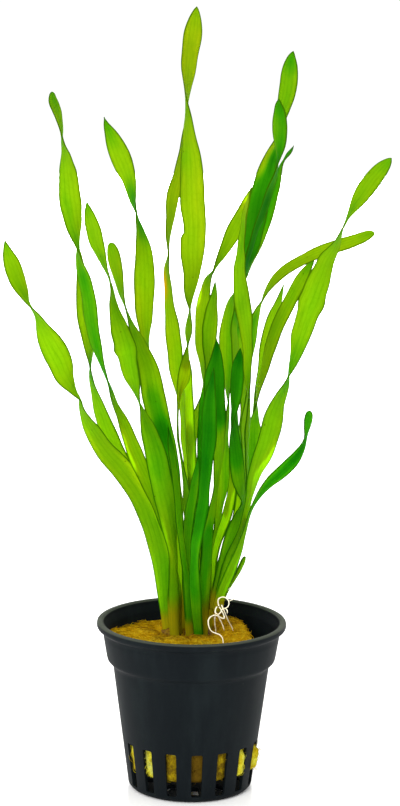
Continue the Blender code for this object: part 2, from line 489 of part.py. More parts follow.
        (4.2, 132.8, 330), (4.3, 136, 336), (4.6, 139.1, 322), (4.8, 142, 310), (5.2, 144.9, 302),
        (5.5, 147.5, 302), (5.6, 149.2, 305))),
    Leaf("leaf_centre_dark", 6.6, 13, 0, BED_FOOT, (3.1, -2.4, -6.7, -19.7), (
        (3.4, 44.8, 346), (3.5, 57, 324), (4, 67.5, 300), (4.7, 76.4, 294), (5.7, 83.8, 286),
        (6.5, 89.7, 282), (7.1, 94.7, 288), (7.3, 99.4, 298), (7, 103.5, 312), (6.5, 107.3, 330),
        (6, 111.7, 338), (5.8, 116, 336), (5.8, 120.4, 330), (5.9, 123.9, 324), (6.1, 127, 320),
        (6.2, 130.2, 320), (6.2, 132.5, 320))),
    Leaf("leaf_centre_dark_inner", 5.2, 10, 0, BED_FOOT, (1.3, -8.6, -13.3, -20.4), (
        (2.1, 44.4, 14), (1.2, 55.5, 33), (0.8, 66, 60), (1.2, 73.4, 54), (2.1, 79.3, 50),
        (3.1, 85.2, 52), (3.6, 91.1, 52), (3.9, 97, 44), (4.3, 102.9, 36), (4.5, 108.7, 36),
        (4.7, 113.7, 46), (5, 117.7, 54), (5.4, 121.5, 58), (5.6, 124.1, 60))),
    Leaf("leaf_right_dark", 5.2, 8, 0.3, RAISED_FOOT, (1, -3, -6.4, -19.6), (
        (6.7, 55, 166), (7.4, 59.2, 165), (8.5, 64, 157), (9.9, 69, 156), (11.3, 73.5, 161),
        (12.7, 78, 145), (13.7, 82.1, 120), (14.4, 85.4, 98), (14, 87.7, 118), (13.2, 91.2, 142),
        (12.6, 95.6, 144), (12.1, 99.5, 137), (11.7, 103, 126), (11.4, 106.5, 109), (11.2, 109.1, 90),
        (11.6, 112.6, 68), (12, 116.1, 50), (12.3, 120.4, 44), (12.5, 124.2, 46), (13, 127.4, 50),
        (13.1, 129.7, 50))),
    Leaf("leaf_right_low", 3.7, 3, 1, RAISED_FOOT, (-1.2, -9.6, -10.5, -13.8), (
        (7.7, 54.7, 346), (8.2, 56.5, 346), (10, 61.6, 339), (11.9, 66.7, 319), (13.7, 71.8, 297),
        (15.1, 76.5, 284), (16, 80.1, 282), (16.9, 82.7, 284), (18.2, 85.4, 290), (19.8, 88.1, 303),
        (22.1, 90.8, 320), (24.7, 93.1, 338), (27.2, 95.5, 352), (29.5, 98.2, 328), (31.1, 101.1, 303),
        (32.1, 104.1, 282), (32.6, 107, 302), (32.8, 109.9, 315), (32.6, 111.7, 320))),
    Leaf("leaf_right_stub", 2, 2, 1, RAISED_FOOT, (2.6, 2.6, 1.3, 0.9), (
        (8.3, 55.3, 315), (10, 58.6, 315), (11.7, 61.6, 315), (13.3, 64.3, 316), (14.4, 66.7, 318),
        (15.2, 68.7, 320))),
    Leaf("leaf_bright_base", 3.4, 7, 0, RAISED_FOOT, (2.9, 2.3, 1.6, 0.3), (
        (5.2, 50.2, 14), (5.4, 56.5, 19), (5.8, 61.5, 34), (6.3, 66.9, 49), (7.1, 71.4, 50),
        (8.2, 75.5, 42), (9.5, 79.4, 36), (10.4, 83, 34), (11.1, 86.8, 38), (11.4, 91.2, 50),
        (11, 95.6, 66), (10.5, 100, 70))),
    Leaf("leaf_inner_left", 4, 9, 0, BED_FOOT, (3.9, -2.8, -4.6, 1.5), (
        (-0.3, 44.4, 346), (-0.8, 52.5, 336), (-1.7, 61.5, 305), (-3, 71.9, 298), (-4, 80.7, 300),
        (-4.8, 88.7, 300), (-5.7, 95.4, 300), (-6.6, 101.3, 298), (-7.4, 107.1, 294))),
    Leaf("leaf_inner_right", 4.3, 9, 0, BED_FOOT, (7.6, 5.6, 2.3, -4.2), (
        (0.6, 44.1, 14), (0.1, 52.5, 24), (-0.7, 61.5, 54), (-1.4, 70.4, 58), (-1.3, 76.3, 50),
        (-0.7, 82.2, 46), (0.3, 88.2, 50), (1.1, 93.5, 58), (1.6, 98.5, 62))),
    Leaf("leaf_front_stub", 2.6, 2, 1, BED_FOOT, (4.6, 4.3, 2.2, 1.7), (
        (1.9, 43.5, 44), (1.4, 49.5, 42), (0.8, 54.9, 40), (0.5, 59.1, 38), (0.3, 63.3, 38),
        (0.2, 65.7, 38))),
)

# Crowns: name, centre and radii in mm
CROWNS = (
    ("crown_left", (-5.9, 7.6, 42.8), (3.2, 5.4, 1.1)),
    ("crown_centre", (1.9, 7.7, 42.8), (4.2, 6.6, 1.1)),
    ("crown_raised", (7.7, 3.5, 51.9), (1.6, 4.6, 1.1)),
)

# Roots of the raised plantlet: name and (across, up, depth) points in mm
ROOTS = (
    ("root_loop", (
        (8, 53.6, -2.8), (8.6, 52.6, -2.9), (9.2, 51.4, -3.1), (9.4, 50.1, -3.5), (8.5, 50.3, -4),
        (7.6, 50.8, -4.6), (6.5, 51, -5.2), (5.5, 50.5, -5.8), (4.9, 49.6, -6.3), (4.9, 48.4, -6.8),
        (5.2, 47.2, -7.3), (6, 46.1, -7.8), (7.1, 45.6, -8.3), (8.3, 45.1, -8.8), (9, 44.4, -9.3))),
    ("root_right", (
        (8.6, 54.2, -4.2), (9.2, 52.8, -4.2), (9.8, 51.4, -3.4), (10.4, 49.9, -1.8), (11.1, 48.6, 0),
        (11.7, 47.8, 1.6))),
    ("root_middle", (
        (7.6, 50.2, 0.5), (8.2, 49.6, 1.4), (8.8, 48.6, 2.4), (9.3, 47.6, 3.2))),
    ("root_left", (
        (6.8, 50, 3), (6.7, 49, 3.6), (6.8, 48, 4.2), (7, 46.9, 4.8))),
    ("root_ring_upper", (
        (7.6, 54.9, -4.4), (7.7, 55.7, -4.6), (8.2, 56.3, -4.8), (9, 56.5, -5), (10.1, 56.1, -5.2),
        (10.7, 55.2, -5.4), (10.7, 54.1, -5.6), (10.1, 53.3, -5.8), (9.2, 53.1, -6))),
    ("root_ring_lower", (
        (7.3, 53.6, -7), (6.9, 52.7, -7.1), (6.9, 51.8, -7.2), (7.6, 51.3, -7.3), (8.4, 51.9, -7.4),
        (8.8, 52.8, -7.5), (9.6, 53.1, -7.6), (10.3, 52.5, -7.7), (10.3, 51.6, -7.8))),
)


def build_root(name, points, parts):
    """A thin round root: a bevelled curve with closed ends through its points."""
    route = [from_eye(*point) for point in points]
    curve = bpy.data.curves.new(name, "CURVE")
    curve.dimensions = "3D"
    curve.bevel_depth = ROOT_RADIUS * MM
    curve.bevel_resolution = 1
    curve.use_fill_caps = True
    spline = curve.splines.new("POLY")
    spline.points.add(len(route) - 1)
    for point, place in zip(spline.points, route):
        point.co = (*(place * MM), 1)
    curve.materials.append(material("root_flesh", "#D9D6B8", 0.5))
    parts.objects.link(bpy.data.objects.new(name, curve))


def main():
    """Clear the file and build every piece of the potted plant."""
    for old in list(bpy.data.objects):
        bpy.data.objects.remove(old, do_unlink=True)
    parts = bpy.data.collections.new("potted_vallisneria")
    cutters = bpy.data.collections.new("cutters")
    for collection in (parts, cutters):
        bpy.context.scene.collection.children.link(collection)
    build_pot(parts, cutters)
    build_wool(parts)
    for name, centre, radii in CROWNS:
        build_crown(name, centre, radii, parts)
    for leaf in LEAVES:
        leaf.build(parts)
    for name, points in ROOTS:
        build_root(name, points, parts)


main()
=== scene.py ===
"""Looks of the potted vallisneria: the finish of every surface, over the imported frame.

Sizes are in millimetres unless a name says otherwise, and MM turns them to metres. +Z is up and
the side that faces the camera is -Y. The leaves follow the same readings as the CAD ribbons, with
more points, a thin blade section and the marks of the real plant.
"""

import logging
import math
from dataclasses import dataclass
from enum import Enum
from typing import Any

import bmesh
import bpy
import numpy as np
from mathutils import Matrix, Vector, noise


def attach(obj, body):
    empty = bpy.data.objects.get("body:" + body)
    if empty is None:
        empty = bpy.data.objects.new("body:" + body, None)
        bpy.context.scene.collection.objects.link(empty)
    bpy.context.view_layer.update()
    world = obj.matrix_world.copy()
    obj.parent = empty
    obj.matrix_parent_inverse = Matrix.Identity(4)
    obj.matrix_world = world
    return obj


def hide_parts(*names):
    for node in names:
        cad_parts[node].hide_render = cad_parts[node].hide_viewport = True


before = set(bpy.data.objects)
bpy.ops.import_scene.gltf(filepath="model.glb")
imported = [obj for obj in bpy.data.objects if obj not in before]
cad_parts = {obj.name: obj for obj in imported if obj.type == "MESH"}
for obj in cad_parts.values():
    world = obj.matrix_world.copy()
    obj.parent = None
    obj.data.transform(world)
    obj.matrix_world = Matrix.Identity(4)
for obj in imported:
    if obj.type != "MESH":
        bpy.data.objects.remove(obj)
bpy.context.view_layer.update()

LOG = logging.getLogger("potted_vallisneria")
MM = 0.001
ROOT_BODY = "root"
PICTURE_WIDTH_PX = 400

# Shared sizes of the pot and the wool, as in the CAD
POT_HEIGHT = 49.5
POT_WALL = 1.1
POT_FLOOR = 1.2
RIM_RADIUS = 27.5
COLLAR_TOP_RADIUS = 25.5
COLLAR_FOOT_RADIUS = 24.5
COLLAR_FOOT_HEIGHT = 38.8
BODY_TOP_RADIUS = 22.7
BODY_TOP_HEIGHT = 36.4
BODY_FOOT_RADIUS = 18.0
BODY_FOOT_HEIGHT = 1.0
FIRST_SLOT_ANGLE = math.radians(6.1)
SLOT_STEP = math.radians(22.5)

EYE = Vector((1.73, -786.06, 262.3))
AIM = Vector((1.73, 0.0, 113.64))


def linear(hex_colour: str) -> tuple[float, float, float, float]:
    """Turn an sRGB hex colour into linear RGBA.

    Args:
        hex_colour: Colour such as "#8CC800".

    Returns:
        Linear red, green, blue and an alpha of one.
    """
    channels = [int(hex_colour[i:i + 2], 16) / 255 for i in (1, 3, 5)]
    red, green, blue = (c / 12.92 if c <= 0.04045 else ((c + 0.055) / 1.055) ** 2.4 for c in channels)
    return red, green, blue, 1.0


def add_node(
    tree: bpy.types.NodeTree,
    kind: str,
    settings: dict[str, Any] | None = None,
    inputs: dict[str | int, Any] | None = None,
) -> bpy.types.Node:
    """Add one node to a tree, with its settings, constants and links.

    Args:
        tree: Tree that takes the node.
        kind: Blender's name for the node type.
        settings: Properties of the node to set.
        inputs: Input name or number, and the constant or the output socket it takes.

    Returns:
        The new node.
    """
    node = tree.nodes.new(kind)
    for name, value in (settings or {}).items():
        setattr(node, name, value)
    for name, value in (inputs or {}).items():
        if isinstance(value, bpy.types.NodeSocket):
            tree.links.new(value, node.inputs[name])
        else:
            node.inputs[name].default_value = value
    return node


def smoothstep(low: float, high: float, value: Any) -> Any:
    """Ease from 0 at low to 1 at high, for a number or an array."""
    t = np.clip((value - low) / (high - low), 0.0, 1.0)
    return t * t * (3 - 2 * t)


def add_piece(name: str, mesh: bpy.types.Mesh, finish: bpy.types.Material) -> bpy.types.Object:
    """Link a mesh as one smooth object with one material.

    Args:
        name: Name of the piece.
        mesh: Its mesh, already in place.
        finish: Its material.

    Returns:
        The linked object.
    """
    piece = bpy.data.objects.new(name, mesh)
    bpy.context.scene.collection.objects.link(piece)
    mesh.materials.clear()
    mesh.materials.append(finish)
    mesh.shade_smooth()
    return piece


def baked_mesh(piece: bpy.types.Object) -> bpy.types.Mesh:
    """Apply every modifier of a piece and give the resulting mesh."""
    depsgraph = bpy.context.evaluated_depsgraph_get()
    return bpy.data.meshes.new_from_object(piece.evaluated_get(depsgraph))


def settle(piece: bpy.types.Object, slot: str, *nodes: str) -> None:
    """Ride a finished piece on the body and stand it for its CAD nodes.

    Args:
        piece: Finished object.
        slot: Material slot of the record; not used.
        nodes: CAD nodes that the piece stands for.
    """
    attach(piece, ROOT_BODY)
    if nodes:
        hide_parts(*nodes)
    LOG.info("%s: %d faces", piece.name, len(piece.data.polygons))


def new_finish(name: str) -> tuple[bpy.types.Material, bpy.types.NodeTree, bpy.types.Node]:
    """Start a material and give it with its tree and its Principled shader."""
    finish = bpy.data.materials.new(name)
    finish.use_nodes = True
    return finish, finish.node_tree, finish.node_tree.nodes["Principled BSDF"]


@dataclass(frozen=True)
class LeafBlade:
    """Living leaf tissue, grown as a thin wet ribbon with parallel veins.

    Most of the light goes through it, so one blade glows lime before the pale room and blades
    that overlap turn deep green. Its margins are a little darker and its foot pales to ochre.
    """

    lime: str = "#D6EC30"
    young: str = "#B8C62C"
    grown: str = "#A5C429"
    shaded: str = "#62AE22"
    deep: str = "#2A8820"
    margin: str = "#5C7006"
    low_margin: str = "#2C6A0A"
    autumn: str = "#F0B400"
    foot: str = "#C4AE0E"
    foot_shade: str = "#82880C"
    speck: str = "#5C4312"
    let_through: float = 0.68
    foot_lets_through: float = 0.3
    roughness: float = 0.5
    cell_mm: float = 1.1
    cell_length_mm: float = 2.4
    fibre_mm: float = 0.35
    mottle_mm: float = 5.0
    mottle_length_mm: float = 15.0
    speck_spacing_mm: float = 2.6
    mottle_share: float = 0.34
    # Tint by height: lighter low down, partly painted light, and darker olive up high, partly painted shade
    tender_and_painted_light_tint: tuple[float, float, float] = (1.11, 1.13, 1.0)
    ripening_and_painted_shade: tuple[float, float, float] = (-0.05, -0.27, 0.0)

    def make(self) -> bpy.types.Material:
        """Build the material from the attributes that every blade carries."""
        finish, tree, skin = new_finish("living_leaf_blade")
        place = add_node(tree, "ShaderNodeAttribute", {"attribute_name": "blade_place"}).outputs["Vector"]
        look = add_node(tree, "ShaderNodeAttribute", {"attribute_name": "blade_look"}).outputs["Vector"]
        edge = add_node(tree, "ShaderNodeAttribute", {"attribute_name": "edge_mm"}).outputs["Fac"]
        lane = add_node(tree, "ShaderNodeAttribute", {"attribute_name": "lane"}).outputs["Fac"]
        height = add_node(tree, "ShaderNodeAttribute", {"attribute_name": "height_share"}).outputs["Vector"]
        tone, warm, pale = add_node(tree, "ShaderNodeSeparateXYZ", {}, {0: look}).outputs

        # Veins run the length of the blade, with short cross veins and fine fibres between them
        off_vein = add_node(tree, "ShaderNodeMath", {"operation": "PINGPONG"}, {0: lane, 1: 0.5}).outputs[0]
        vein = add_node(tree, "ShaderNodeMapRange", {"interpolation_type": "SMOOTHSTEP"},
                        {"Value": off_vein, "From Min": 0.02, "From Max": 0.3, "To Min": 1.0, "To Max": 0.0})
        squeezed = add_node(tree, "ShaderNodeVectorMath", {"operation": "MULTIPLY"},
                            {0: place, 1: (1 / self.cell_mm, 1 / self.cell_length_mm, 1.0)}).outputs[0]
        cells = add_node(tree, "ShaderNodeTexVoronoi", {"feature": "DISTANCE_TO_EDGE"},
                         {"Vector": squeezed, "Scale": 1.0, "Randomness": 0.7}).outputs["Distance"]
        ladder = add_node(tree, "ShaderNodeMapRange", {"interpolation_type": "SMOOTHSTEP"},
                          {"Value": cells, "From Min": 0.0, "From Max": 0.14, "To Min": 1.0, "To Max": 0.0})
        drawn_out = add_node(tree, "ShaderNodeVectorMath", {"operation": "MULTIPLY"},
                             {0: place, 1: (1 / self.fibre_mm, 0.04 / self.fibre_mm, 1.0)}).outputs[0]
        streak = add_node(tree, "ShaderNodeTexNoise", {}, {"Vector": drawn_out, "Scale": 1.0, "Detail": 3.0})
        stretched = add_node(tree, "ShaderNodeVectorMath", {"operation": "MULTIPLY"},
                             {0: place, 1: (1 / self.mottle_mm, 1 / self.mottle_length_mm, 1.0)}).outputs[0]
        mottle = add_node(tree, "ShaderNodeTexNoise", {},
                          {"Vector": stretched, "Scale": 1.0, "Detail": 2.0}).outputs["Fac"]

        # Tissue colour by age, with the painted shade and painted light carried in the tone, and patches of
        # autumn yellow
        age = add_node(tree, "ShaderNodeMath", {"operation": "MULTIPLY_ADD"},
                       {0: mottle, 1: self.mottle_share, 2: tone})
        ramp = add_node(tree, "ShaderNodeValToRGB", {}, {"Fac": age.outputs[0]})
        stops = ramp.color_ramp.elements
        stops[0].color = linear(self.lime)
        stops[1].color = linear(self.deep)
        stops.new(0.09).color = linear(self.young)
        stops.new(0.42).color = linear(self.grown)
        stops.new(0.7).color = linear(self.shaded)
        yellowed = add_node(tree, "ShaderNodeMix", {"data_type": "RGBA"},
                            {"Factor": warm, 6: ramp.outputs["Color"], 7: linear(self.autumn)})

        # Low in the plant the tissue is tinted lighter, partly tender tissue and partly painted light where
        # the leaves lie in shade, and up high it is tinted darker and more olive, partly ripening and partly
        # painted shade
        tint = add_node(tree, "ShaderNodeVectorMath", {"operation": "MULTIPLY_ADD"},
                        {0: height, 1: self.ripening_and_painted_shade, 2: self.tender_and_painted_light_tint}).outputs[0]
        lit = add_node(tree, "ShaderNodeVectorMath", {"operation": "MULTIPLY"},
                       {0: yellowed.outputs[2], 1: tint}).outputs[0]

        # Veins and fibres darken the light that comes through
        fine = add_node(tree, "ShaderNodeMapRange", {"interpolation_type": "SMOOTHSTEP"},
                        {"Value": streak.outputs["Fac"], "From Min": 0.42, "From Max": 0.7, "To Max": 0.2})
        crossed = add_node(tree, "ShaderNodeMath", {"operation": "MULTIPLY_ADD"},
                           {0: ladder.outputs["Result"], 1: 0.12, 2: fine.outputs["Result"]})
        lined = add_node(tree, "ShaderNodeMath", {"operation": "MULTIPLY_ADD", "use_clamp": True},
                         {0: vein.outputs["Result"], 1: 0.19, 2: crossed.outputs[0]})
        veined = add_node(tree, "ShaderNodeMix", {"data_type": "RGBA", "blend_type": "MULTIPLY"},
                          {"Factor": lined.outputs[0], 6: lit, 7: (0.4, 0.62, 0.3, 1.0)})
        rim = add_node(tree, "ShaderNodeMapRange", {"interpolation_type": "SMOOTHSTEP"},
                       {"Value": edge, "From Min": 0.16, "From Max": 0.6, "To Min": 0.82, "To Max": 0.0})
        ripe = add_node(tree, "ShaderNodeMapRange", {},
                        {"Value": height, "From Min": 0.25, "From Max": 0.6})
        edging = add_node(tree, "ShaderNodeMix", {"data_type": "RGBA"},
                          {"Factor": ripe.outputs["Result"], 6: linear(self.low_margin),
                           7: linear(self.margin)})
        rimmed = add_node(tree, "ShaderNodeMix", {"data_type": "RGBA"},
                          {"Factor": rim.outputs["Result"], 6: veined.outputs[2], 7: edging.outputs[2]})

        # The foot pales where it leaves the crown, and small brown specks lie along the blade
        foot = add_node(tree, "ShaderNodeMix", {"data_type": "RGBA"},
                        {"Factor": streak.outputs["Fac"], 6: linear(self.foot), 7: linear(self.foot_shade)})
        footed = add_node(tree, "ShaderNodeMix", {"data_type": "RGBA"},
                          {"Factor": pale, 6: rimmed.outputs[2], 7: foot.outputs[2]})
        spots = add_node(tree, "ShaderNodeTexVoronoi", {},
                         {"Vector": place, "Scale": 1 / self.speck_spacing_mm})
        chance = add_node(tree, "ShaderNodeSeparateColor", {}, {0: spots.outputs["Color"]})
        chosen = add_node(tree, "ShaderNodeMath", {"operation": "GREATER_THAN"},
                          {0: chance.outputs[0], 1: 0.9})
        spot = add_node(tree, "ShaderNodeMapRange", {"interpolation_type": "SMOOTHSTEP"},
                        {"Value": spots.outputs["Distance"], "From Min": 0.03, "From Max": 0.12,
                         "To Min": 0.7, "To Max": 0.0})
        speck = add_node(tree, "ShaderNodeMath", {"operation": "MULTIPLY"},
                         {0: chosen.outputs[0], 1: spot.outputs["Result"]})
        tissue = add_node(tree, "ShaderNodeMix", {"data_type": "RGBA"},
                          {"Factor": speck.outputs[0], 6: footed.outputs[2], 7: linear(self.speck)})

        # Light thrown back by the face is greener than light that comes through. The thick foot
        # throws back most of it
        bump = add_node(tree, "ShaderNodeBump", {},
                        {"Strength": 0.4, "Distance": 0.00006, "Height": lined.outputs[0]})
        green = add_node(tree, "ShaderNodeMix", {"data_type": "RGBA", "blend_type": "MULTIPLY"},
                         {"Factor": 1.0, 6: tissue.outputs[2], 7: (0.45, 1.0, 0.2, 1.0)})
        face = add_node(tree, "ShaderNodeMix", {"data_type": "RGBA"},
                        {"Factor": pale, 6: green.outputs[2], 7: foot.outputs[2]})
        share = add_node(tree, "ShaderNodeMapRange", {},
                         {"Value": pale, "To Min": self.let_through, "To Max": self.foot_lets_through})
        tree.links.new(face.outputs[2], skin.inputs["Base Color"])
        tree.links.new(bump.outputs["Normal"], skin.inputs["Normal"])
        skin.inputs["Roughness"].default_value = self.roughness
        skin.inputs["Specular IOR Level"].default_value = 0.01
        skin.inputs["Specular Tint"].default_value = (0.55, 1.0, 0.25, 1.0)
        glow = add_node(tree, "ShaderNodeBsdfTranslucent", {}, {"Color": tissue.outputs[2]})
        both = add_node(tree, "ShaderNodeMixShader", {},
                        {"Fac": share.outputs["Result"], 1: skin.outputs[0], 2: glow.outputs[0]})
        tree.links.new(both.outputs[0], tree.nodes["Material Output"].inputs["Surface"])
        return finish


@dataclass(frozen=True)
class MouldedPolypropylene:
    """Black polypropylene, injection moulded with a fine matt texture.

    It reads as charcoal with a soft sheen that pales at grazing angles. Handling leaves faint
    scuffs, and hard water leaves chalky specks. A lighter band round the top of the rim is a
    painted highlight on its lip.
    """

    base: str = "#0D1215"
    worn: str = "#161C1E"
    chalk: str = "#A9ADA9"
    rim_painted_highlight: str = "#464A40"
    rim_mm: tuple[float, float] = (48.9, 49.4)
    roughness: float = 0.56
    texture_mm: float = 0.5
    scuff_mm: float = 9.0
    speck_spacing_mm: float = 3.4

    def make(self) -> bpy.types.Material:
        """Build the material on Object coordinates."""
        finish, tree, shader = new_finish("moulded_black_polypropylene")
        place = add_node(tree, "ShaderNodeTexCoord").outputs["Object"]
        drawn = add_node(tree, "ShaderNodeMapping", {}, {"Vector": place, "Scale": (1.0, 1.0, 0.22)})
        flow = add_node(tree, "ShaderNodeTexNoise", {},
                        {"Vector": drawn.outputs[0], "Scale": 1000 / self.scuff_mm, "Detail": 5.0,
                         "Roughness": 0.62}).outputs["Fac"]
        grain = add_node(tree, "ShaderNodeTexNoise", {},
                         {"Vector": place, "Scale": 1000 / self.texture_mm, "Detail": 2.0})
        wear = add_node(tree, "ShaderNodeMapRange", {"interpolation_type": "SMOOTHSTEP"},
                        {"Value": flow, "From Min": 0.4, "From Max": 0.76})
        body = add_node(tree, "ShaderNodeMix", {"data_type": "RGBA"},
                        {"Factor": wear.outputs["Result"], 6: linear(self.base), 7: linear(self.worn)})
        height = add_node(tree, "ShaderNodeSeparateXYZ", {}, {0: place}).outputs["Z"]
        # Painted highlight: a lighter band round the top of the rim
        rim_highlight_band = add_node(tree, "ShaderNodeMapRange", {"interpolation_type": "SMOOTHSTEP"},
                        {"Value": height, "From Min": self.rim_mm[0] * MM,
                         "From Max": self.rim_mm[1] * MM, "To Max": 0.8})
        rim_highlighted = add_node(tree, "ShaderNodeMix", {"data_type": "RGBA"},
                          {"Factor": rim_highlight_band.outputs["Result"], 6: body.outputs[2],
                           7: linear(self.rim_painted_highlight)})
        specks = add_node(tree, "ShaderNodeTexVoronoi", {},
                          {"Vector": place, "Scale": 1000 / self.speck_spacing_mm})
        chance = add_node(tree, "ShaderNodeSeparateColor", {}, {0: specks.outputs["Color"]})
        rare = add_node(tree, "ShaderNodeMath", {"operation": "GREATER_THAN"},
                        {0: chance.outputs[1], 1: 0.95})
        small = add_node(tree, "ShaderNodeMapRange", {"interpolation_type": "SMOOTHSTEP"},
                         {"Value": specks.outputs["Distance"], "From Min": 0.03, "From Max": 0.09,
                          "To Min": 0.6, "To Max": 0.0})
        patch = add_node(tree, "ShaderNodeMath", {"operation": "MULTIPLY"},
                         {0: rare.outputs[0], 1: small.outputs["Result"]})
        dusty = add_node(tree, "ShaderNodeMix", {"data_type": "RGBA"},
                         {"Factor": patch.outputs[0], 6: rim_highlighted.outputs[2], 7: linear(self.chalk)})
        rough = add_node(tree, "ShaderNodeMapRange", {},
                         {"Value": flow, "From Min": 0.3, "From Max": 0.7,
                          "To Min": self.roughness - 0.06, "To Max": self.roughness + 0.1})
        bump = add_node(tree, "ShaderNodeBump", {},
                        {"Strength": 0.25, "Distance": 0.00004, "Height": grain.outputs["Fac"]})
        tree.links.new(dusty.outputs[2], shader.inputs["Base Color"])
        tree.links.new(rough.outputs["Result"], shader.inputs["Roughness"])
        tree.links.new(bump.outputs["Normal"], shader.inputs["Normal"])
        shader.inputs["IOR"].default_value = 1.49
        shader.inputs["Specular IOR Level"].default_value = 0.05
        return finish


@dataclass(frozen=True)
class SpunRockWool:
    """Spun mineral fibre, pressed into a mat and stained by the nursery's feed.

    It looks like coarse ochre felt: bright straw where fresh fibre shows, brown where damp
    dirt has gathered and, as painted shade, in a ring round the front edge of the plants' bed.
    Painted light makes the front of the top, the wool in the slots and the hummocks' tops lighter.
    """

    pale: str = "#CCBE4C"
    straw: str = "#DEC226"
    ochre: str = "#C89C06"
    shade: str = "#80600A"
    stain_and_shade: str = "#43240A"
    bleach: tuple[float, float, float, float] = (0.76, 0.96, 1.7, 1.0)
    tuft_mm: float = 2.2
    fibre_mm: float = 0.5

    def make(self) -> bpy.types.Material:
        """Build the material from Object coordinates and the wool's own attributes."""
        finish, tree, shader = new_finish("spun_rock_wool")
        place = add_node(tree, "ShaderNodeTexCoord").outputs["Object"]
        tuft = add_node(tree, "ShaderNodeTexNoise", {},
                        {"Vector": place, "Scale": 1000 / self.tuft_mm, "Detail": 4.0, "Roughness": 0.65})
        fibre = add_node(tree, "ShaderNodeTexNoise", {},
                         {"Vector": place, "Scale": 1000 / self.fibre_mm, "Detail": 3.0, "Distortion": 1.2})
        # The light attribute is painted light and shade: it moves the wool's colour up or down the ramp
        light = add_node(tree, "ShaderNodeAttribute", {"attribute_name": "light"}).outputs["Fac"]
        stain_and_shade = add_node(tree, "ShaderNodeAttribute", {"attribute_name": "stain_and_shade"}).outputs["Fac"]
        fresh = add_node(tree, "ShaderNodeAttribute", {"attribute_name": "fresh"}).outputs["Fac"]
        level = add_node(tree, "ShaderNodeMath", {"operation": "ADD"}, {0: tuft.outputs["Fac"], 1: light})
        ramp = add_node(tree, "ShaderNodeValToRGB", {}, {"Fac": level.outputs[0]})
        stops = ramp.color_ramp.elements
        stops[0].position, stops[0].color = 0.3, linear(self.shade)
        stops[1].position, stops[1].color = 0.92, linear(self.pale)
        stops.new(0.5).color = linear(self.ochre)
        stops.new(0.72).color = linear(self.straw)
        strand = add_node(tree, "ShaderNodeMapRange", {},
                          {"Value": fibre.outputs["Fac"], "From Min": 0.3, "From Max": 0.7,
                           "To Min": 0.68, "To Max": 1.12})
        felt = add_node(tree, "ShaderNodeMix", {"data_type": "RGBA", "blend_type": "MULTIPLY"},
                        {"Factor": 1.0, 6: ramp.outputs["Color"], 7: strand.outputs["Result"]})
        bleached = add_node(tree, "ShaderNodeMix", {"data_type": "RGBA", "blend_type": "MULTIPLY"},
                            {"Factor": fresh, 6: felt.outputs[2], 7: self.bleach})
        # Brown stain, which also carries painted shade round the front edge of the plants' bed
        stained_and_shaded = add_node(tree, "ShaderNodeMix", {"data_type": "RGBA"},
                         {"Factor": stain_and_shade, 6: bleached.outputs[2], 7: linear(self.stain_and_shade)})
        bump = add_node(tree, "ShaderNodeBump", {},
                        {"Strength": 0.8, "Distance": 0.00025, "Height": fibre.outputs["Fac"]})
        tree.links.new(stained_and_shaded.outputs[2], shader.inputs["Base Color"])
        tree.links.new(bump.outputs["Normal"], shader.inputs["Normal"])
        shader.inputs["Roughness"].default_value = 0.95
        shader.inputs["Specular IOR Level"].default_value = 0.05
        return finish


@dataclass(frozen=True)
class PlantFlesh:
    """Watery flesh of a root or a crown, smooth where it is young and tan where it has aged."""

    title: str
    fresh: str
    aged: str
    patch_mm: float
    aged_from: float
    roughness: float = 0.4

    def make(self) -> bpy.types.Material:
        """Build the material on Object coordinates."""
        finish, tree, shader = new_finish(self.title)
        place = add_node(tree, "ShaderNodeTexCoord").outputs["Object"]
        patch = add_node(tree, "ShaderNodeTexNoise", {},
                         {"Vector": place, "Scale": 1000 / self.patch_mm, "Detail": 3.0}).outputs["Fac"]
        aged = add_node(tree, "ShaderNodeMapRange", {"interpolation_type": "SMOOTHSTEP"},
                        {"Value": patch, "From Min": self.aged_from, "From Max": self.aged_from + 0.2})
        flesh = add_node(tree, "ShaderNodeMix", {"data_type": "RGBA"},
                         {"Factor": aged.outputs["Result"], 6: linear(self.fresh), 7: linear(self.aged)})
        bump = add_node(tree, "ShaderNodeBump", {},
                        {"Strength": 0.4, "Distance": 0.00008, "Height": patch})
        tree.links.new(flesh.outputs[2], shader.inputs["Base Color"])
        tree.links.new(bump.outputs["Normal"], shader.inputs["Normal"])
        shader.inputs["Roughness"].default_value = self.roughness
        shader.inputs["Specular IOR Level"].default_value = 0.12
        return finish


@dataclass(frozen=True)
class MattPaper:
    """White studio paper, rolled from pulp, with a dead matt face."""

    colour: str = "#FCFCFB"

    def make(self) -> bpy.types.Material:
        """Build the plain matt material of the floor."""
        finish, _, shader = new_finish("matt_studio_paper")
        shader.inputs["Base Color"].default_value = linear(self.colour)
        shader.inputs["Roughness"].default_value = 1.0
        shader.inputs["Specular IOR Level"].default_value = 0.0
        return finish


def loft(name: str, rings: np.ndarray) -> bpy.types.Mesh:
    """Skin closed rings of points into one closed mesh, with a fan over each end.

    Args:
        name: Name of the mesh.
        rings: Points in mm, as rings by points by three.

    Returns:
        The mesh in metres, with its faces pointing out. Its last two points are the end poles.
    """
    count, around = rings.shape[:2]
    poles = np.stack([rings[0].mean(axis=0), rings[-1].mean(axis=0)])
    points = np.concatenate([rings.reshape(-1, 3), poles]) * MM
    index = np.arange(count * around).reshape(count, around)
    ahead = np.roll(index, -1, axis=1)
    walls = np.stack([index[:-1], ahead[:-1], ahead[1:], index[1:]], axis=-1).reshape(-1, 4)
    start, end = count * around, count * around + 1
    fans = [(start, b, a) for a, b in zip(index[0], ahead[0])]
    fans += [(end, a, b) for a, b in zip(index[-1], ahead[-1])]
    mesh = bpy.data.meshes.new(name)
    mesh.from_pydata(points.tolist(), [], walls.tolist() + [tuple(map(int, fan)) for fan in fans])
    shape = bmesh.new()
    shape.from_mesh(mesh)
    bmesh.ops.recalc_face_normals(shape, faces=shape.faces)
    shape.to_mesh(mesh)
    shape.free()
    return mesh


